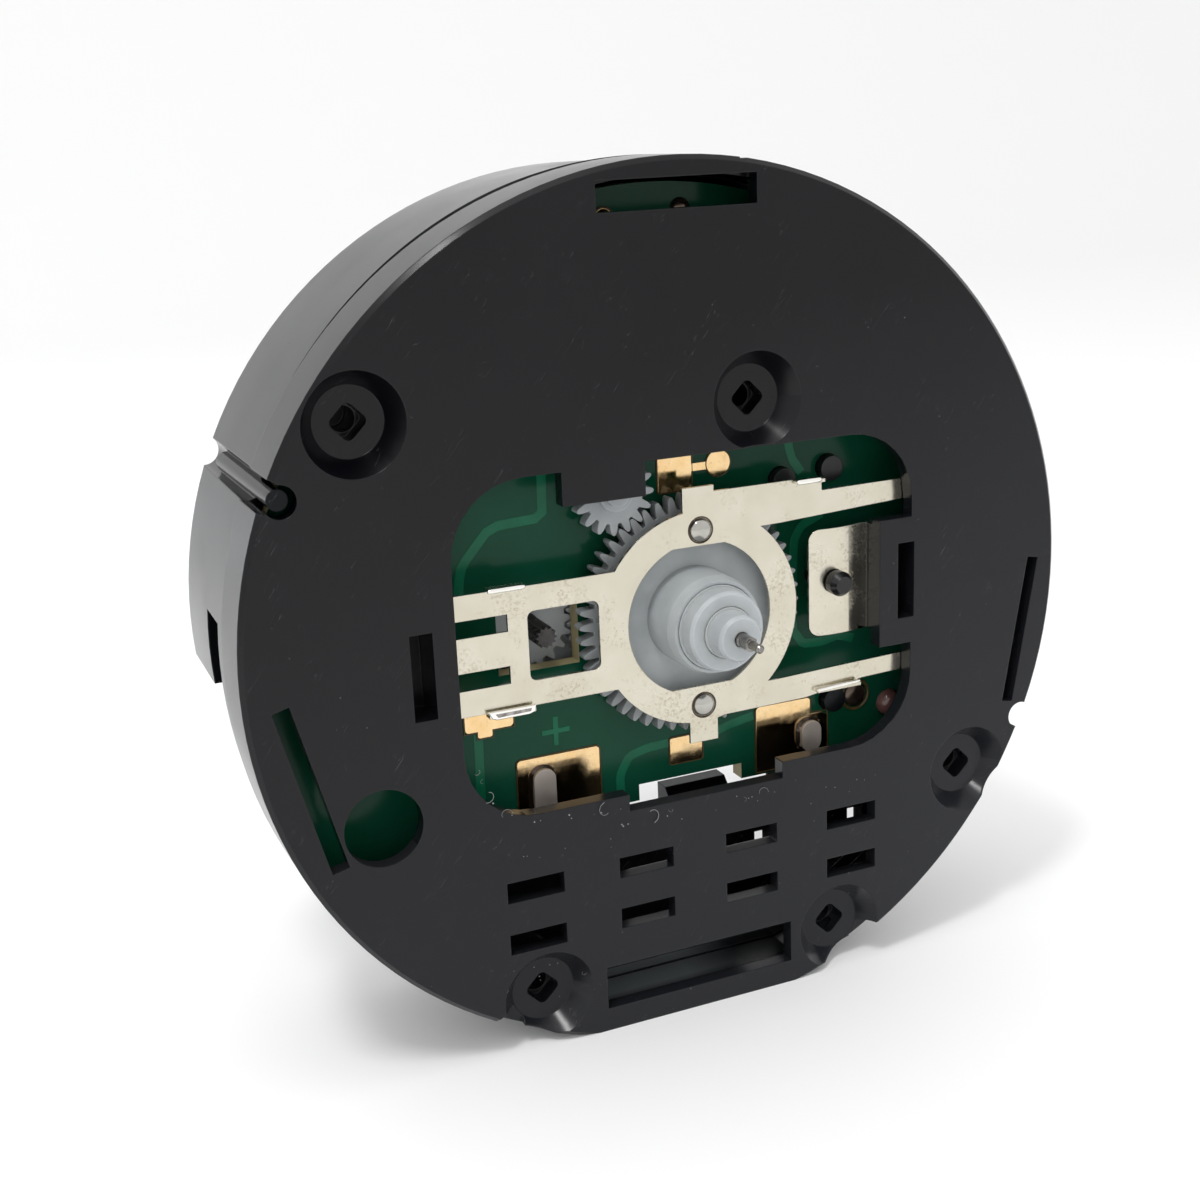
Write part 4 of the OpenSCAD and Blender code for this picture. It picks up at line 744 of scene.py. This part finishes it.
def make_lint_tree():
    """Fibres and specks strewn over a patch."""
    tree, inside, outside = new_group("strewn_lint", [
        ("Geometry", GEOMETRY, None), ("Per Square Metre", FLOAT, 100000.0), ("Seed", "NodeSocketInt", 3),
        ("Fibre Share", FLOAT, 0.35), ("Smallest", FLOAT, 0.4), ("Largest", FLOAT, 1.2),
    ], [("Geometry", GEOMETRY)], "GeometryNodeTree")
    strew = tree.nodes.new("GeometryNodeDistributePointsOnFaces")
    link(tree, inside.outputs["Geometry"], strew.inputs["Mesh"])
    link(tree, inside.outputs["Per Square Metre"], strew.inputs["Density"])
    link(tree, inside.outputs["Seed"], strew.inputs["Seed"])
    fibre = tree.nodes.new("GeometryNodeCurveSpiral")
    fibre.inputs["Resolution"].default_value = 12
    fibre.inputs["Rotations"].default_value = 0.55
    fibre.inputs["Start Radius"].default_value = 0.00025
    fibre.inputs["End Radius"].default_value = 0.00055
    fibre.inputs["Height"].default_value = 0.0001
    hair = tree.nodes.new("GeometryNodeCurvePrimitiveCircle")
    hair.inputs["Resolution"].default_value = 5
    hair.inputs["Radius"].default_value = 0.000018
    sweep = tree.nodes.new("GeometryNodeCurveToMesh")
    sweep.inputs["Fill Caps"].default_value = True
    link(tree, fibre.outputs["Curve"], sweep.inputs["Curve"])
    link(tree, hair.outputs["Curve"], sweep.inputs["Profile Curve"])
    speck = tree.nodes.new("GeometryNodeMeshIcoSphere")
    speck.inputs["Radius"].default_value = 0.00006
    speck.inputs["Subdivisions"].default_value = 1
    size = tree.nodes.new("FunctionNodeRandomValue")
    link(tree, inside.outputs["Smallest"], size.inputs[2])
    link(tree, inside.outputs["Largest"], size.inputs[3])
    turn = tree.nodes.new("FunctionNodeRandomValue")
    turn.inputs[3].default_value = 2 * math.pi
    turn.inputs["Seed"].default_value = 5
    spin = tree.nodes.new("ShaderNodeCombineXYZ")
    link(tree, turn.outputs[1], spin.inputs["Z"])
    pick = tree.nodes.new("FunctionNodeRandomValue")
    pick.data_type = "BOOLEAN"
    pick.inputs["Seed"].default_value = 9
    link(tree, inside.outputs["Fibre Share"], pick.inputs["Probability"])
    join = tree.nodes.new("GeometryNodeJoinGeometry")
    for mesh_out, chosen in ((sweep.outputs["Mesh"], True), (speck.outputs["Mesh"], False)):
        place = tree.nodes.new("GeometryNodeInstanceOnPoints")
        link(tree, strew.outputs["Points"], place.inputs["Points"])
        link(tree, mesh_out, place.inputs["Instance"])
        turned_way = tree.nodes.new("FunctionNodeRotateRotation")
        link(tree, strew.outputs["Rotation"], turned_way.inputs["Rotation"])
        link(tree, spin.outputs[0], turned_way.inputs["Rotate By"])
        turned_way.rotation_space = "LOCAL"
        link(tree, turned_way.outputs[0], place.inputs["Rotation"])
        link(tree, size.outputs[1], place.inputs["Scale"])
        if chosen:
            link(tree, pick.outputs[3], place.inputs["Selection"])
        else:
            other = tree.nodes.new("FunctionNodeBooleanMath")
            other.operation = "NOT"
            link(tree, pick.outputs[3], other.inputs[0])
            link(tree, other.outputs[0], place.inputs["Selection"])
        link(tree, place.outputs["Instances"], join.inputs["Geometry"])
    real = tree.nodes.new("GeometryNodeRealizeInstances")
    link(tree, join.outputs[0], real.inputs["Geometry"])
    dress = tree.nodes.new("GeometryNodeSetMaterial")
    dress.inputs["Material"].default_value = LINT
    link(tree, real.outputs[0], dress.inputs["Geometry"])
    link(tree, dress.outputs[0], outside.inputs["Geometry"])
    return tree


def make_marks_tree():
    """Round ejector marks at the points of a mesh."""
    tree, inside, outside = new_group("ejector_marks", [
        ("Geometry", GEOMETRY, None), ("Radius", FLOAT, 0.002), ("Rim", FLOAT, 0.00008),
    ], [("Geometry", GEOMETRY)], "GeometryNodeTree")
    circle = tree.nodes.new("GeometryNodeCurvePrimitiveCircle")
    circle.inputs["Resolution"].default_value = 40
    link(tree, inside.outputs["Radius"], circle.inputs["Radius"])
    rim = tree.nodes.new("GeometryNodeCurvePrimitiveCircle")
    rim.inputs["Resolution"].default_value = 8
    link(tree, inside.outputs["Rim"], rim.inputs["Radius"])
    sweep = tree.nodes.new("GeometryNodeCurveToMesh")
    link(tree, circle.outputs["Curve"], sweep.inputs["Curve"])
    link(tree, rim.outputs["Curve"], sweep.inputs["Profile Curve"])
    place = tree.nodes.new("GeometryNodeInstanceOnPoints")
    link(tree, inside.outputs["Geometry"], place.inputs["Points"])
    link(tree, sweep.outputs["Mesh"], place.inputs["Instance"])
    place.inputs["Rotation"].default_value = (math.pi / 2, 0.0, 0.0)
    real = tree.nodes.new("GeometryNodeRealizeInstances")
    link(tree, place.outputs["Instances"], real.inputs["Geometry"])
    dress = tree.nodes.new("GeometryNodeSetMaterial")
    dress.inputs["Material"].default_value = HOUSING
    link(tree, real.outputs[0], dress.inputs["Geometry"])
    link(tree, dress.outputs[0], outside.inputs["Geometry"])
    return tree


def grown(name, built, tree, **values):
    """Runs a tree on a bmesh and keeps the result as a plain piece that rides the case."""
    mesh = bpy.data.meshes.new(name + "_places")
    built.to_mesh(mesh)
    built.free()
    holder = bpy.data.objects.new(name, mesh)
    bpy.context.collection.objects.link(holder)
    modifier = holder.modifiers.new("grow", "NODES")
    modifier.node_group = tree
    for item in tree.interface.items_tree:
        label = item.name.replace(" ", "_")
        if item.item_type == "SOCKET" and item.in_out == "INPUT" and label in values:
            modifier[item.identifier] = values[label]
    bpy.context.view_layer.update()
    result = holder.evaluated_get(bpy.context.evaluated_depsgraph_get())
    solid = bpy.data.meshes.new_from_object(result)
    holder.modifiers.clear()
    holder.data = solid
    solid.name = name
    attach(holder, CASE)


def build_lint():
    """Lint by the window's lower left corner and below the window."""
    strip = bmesh.new()
    strip_y, field_y = -0.03, -0.02
    corner = [(-20.9 + 5.4 * (1 - math.cos(a)), -8.4 - 5.6 * math.sin(a))
              for a in [math.radians(10 * i) for i in range(10)]]
    line = corner + [(-12.0, -14.4), (-8.4, -14.6), (-8.2, -16.0), (-2.0, -16.0), (6.6, -16.0)]
    outer = [(x - 0.55, z - 0.6) for x, z in line]
    rows = [(strip.verts.new(at(x, strip_y, z)), strip.verts.new(at(u, strip_y, w)))
            for (x, z), (u, w) in zip(line, outer)]
    for one, two in zip(rows, rows[1:]):
        strip.faces.new((one[0], one[1], two[1], two[0]))
    grown("window_lint", strip, LINT_TREE, Per_Square_Metre=1300000.0, Seed=11, Fibre_Share=0.42,
          Smallest=0.4, Largest=1.5)
    field = bmesh.new()
    for x0, x1, z0, z1 in ((-19.5, 16.5, -18.6, -16.9), (-21.5, -10.0, -29.5, -26.6)):
        corners = ((x0, z0), (x0, z1), (x1, z1), (x1, z0))
        field.faces.new([field.verts.new(at(x, field_y, z)) for x, z in corners])
    grown("slot_specks", field, LINT_TREE, Per_Square_Metre=260000.0, Seed=4, Fibre_Share=0.1,
          Smallest=0.4, Largest=0.9)


def add_bar(built, x, z, half_x, half_z, height):
    """A raised bar on the bay's floor."""
    corners = [(x - half_x, z - half_z), (x + half_x, z - half_z), (x + half_x, z + half_z),
               (x - half_x, z + half_z)]
    add_plate(built, corners, BAY_FLOOR_Y - 0.2, BAY_FLOOR_Y + height, edge=-0.05)


def build_rear_marks():
    """Ejector marks on the rear face, and the plus and minus in the battery bay."""
    marks = bmesh.new()
    for x, z in ((-27.0, 9.0), (-19.5, 18.0), (2.0, 15.0), (2.5, 3.5), (26.5, 6.0), (23.0, 15.5),
                 (6.0, 31.5), (-13.5, 30.0)):
        marks.verts.new(at(x, REAR_MARKS_Y, z))
    grown("rear_ejector_marks", marks, MARKS_TREE, Radius=0.0016, Rim=0.00007)
    built = bmesh.new()
    plus_x, minus_x, mark_z = -20.0, 14.0, -18.6
    arm, half = 1.5, 0.32
    add_bar(built, plus_x, mark_z, arm, half, 0.22)
    add_bar(built, plus_x, mark_z, half, arm, 0.24)
    add_bar(built, minus_x, mark_z, arm, half, 0.22)
    keep_piece("bay_marks", built, HOUSING)


def build_knob_trim():
    """A raised cap on each setting knob."""
    for name, centre, radius, body in (("time_knob_cap", (-13.6, 0.19), 5.6, "time_setting"),
                                       ("alarm_knob_cap", (-6.8, 11.31), 4.6, "alarm_setting")):
        built = bmesh.new()
        top = KNOB_CAP_Y
        profile = [(radius - 0.75, top - 0.3), (radius - 0.75, top - 0.04), (radius - 0.85, top),
                   (radius - 1.25, top), (radius - 1.4, top - 0.12), (0.0, top - 0.12)]
        add_lathe(built, centre, profile, 64)
        keep_piece(name, built, KNOB, body, flat_angle=30.0)


def build_seam_shadow():
    """A dark band at the open joint between the plate's skirt and the housing, at the top: painted shadow
    of the gap.
    """
    built = bmesh.new()
    low, high, count = 50.0, 143.0, 90
    inner, outer, bevel = 37.1, 37.48, 0.06
    rows = []
    for i in range(count + 1):
        f = i / count
        a = math.radians(low + (high - low) * f)
        end_y = 6.15 + 1.4 * min(1.0, 5 * f, 2.6 * (1 - f))
        profile = [(inner, SEAM_Y), (outer, SEAM_Y), (outer, end_y - bevel), (inner, end_y)]
        rows.append([built.verts.new(at(RIM_X + r * math.cos(a), y, RIM_Z + r * math.sin(a)))
                     for r, y in profile])
    join_rings(built, rows)
    built.faces.new(rows[0])
    built.faces.new(rows[-1])
    keep_piece("seam_line", built, SEAM_SHADOW)


LINT_TREE = make_lint_tree()
MARKS_TREE = make_marks_tree()
build_board_tracks()
build_mask_rims()
build_solder()
build_bracket_trim()
build_lint()
build_seam_shadow()
build_rear_marks()
build_knob_trim()


# Floor, light and camera


def plain_material(name, colour, roughness):
    made = bpy.data.materials.new(name)
    made.use_nodes = True
    shader = made.node_tree.nodes["Principled BSDF"]
    shader.inputs["Base Color"].default_value = (*colour, 1.0)
    shader.inputs["Roughness"].default_value = roughness
    return made


def lay_floor():
    """A pale floor that curves up into a wall behind the part."""
    mesh = bpy.data.meshes.new("floor")
    low = cad_box[0][2]
    size, back, rise, turn = 1.5, 0.9, 1.4, 0.35
    profile = [(-size, 0.0), (back - turn, 0.0)]
    profile += [(back - turn + turn * math.sin(a), turn - turn * math.cos(a))
                for a in [i * math.pi / 24 for i in range(1, 13)]]
    profile.append((back, rise))
    points = [(x, y, z + low) for y, z in profile for x in (-size, size)]
    faces = [(2 * i, 2 * i + 1, 2 * i + 3, 2 * i + 2) for i in range(len(profile) - 1)]
    mesh.from_pydata(points, [], faces)
    floor = bpy.data.objects.new("floor", mesh)
    bpy.context.collection.objects.link(floor)
    mesh.shade_smooth()
    mesh.materials.append(plain_material("pale_floor", (0.9, 0.9, 0.9), 0.6))


def area_light(name, place, aim, size, power, colour=(1, 1, 1)):
    lamp = bpy.data.lights.new(name, "AREA")
    lamp.shape = "RECTANGLE"
    lamp.size, lamp.size_y = size
    lamp.energy = power
    lamp.color = colour
    holder = bpy.data.objects.new(name, lamp)
    bpy.context.collection.objects.link(holder)
    holder.location = place
    holder.rotation_euler = (Vector(aim) - Vector(place)).to_track_quat("-Z", "Y").to_euler()


def light_the_scene():
    """White surroundings and three area lights."""
    world = bpy.data.worlds.new("studio")
    bpy.context.scene.world = world
    world.use_nodes = True
    back = world.node_tree.nodes["Background"]
    back.inputs["Color"].default_value = (1.0, 1.0, 1.0, 1.0)
    back.inputs["Strength"].default_value = 1.0
    area_light("left_rear_panel", (-0.45, 0.42, -0.01), (0, 0.01, 0), (0.5, 0.24), 0.8, (0.88, 0.95, 1.0))
    area_light("top_panel", (-0.1, 0.05, 0.6), (0, 0, 0), (0.5, 0.5), 0.5)
    area_light("small_window", (-0.19, -0.175, 0.5), (0, 0, -0.01), (0.07, 0.12), 1.05)
    bpy.context.scene.view_settings.view_transform = "Standard"


def set_camera():
    """The camera that was solved from the photo."""
    data = bpy.data.cameras.new("camera")
    data.sensor_width = 36.0
    data.lens = 49.736
    data.clip_start = 0.01
    holder = bpy.data.objects.new("camera", data)
    bpy.context.collection.objects.link(holder)
    holder.location = (-0.060845, -0.118127, 0.040330)
    holder.rotation_euler = (1.29147, 0.041588, -0.419647)
    bpy.context.scene.camera = holder


lay_floor()
light_the_scene()
set_camera()
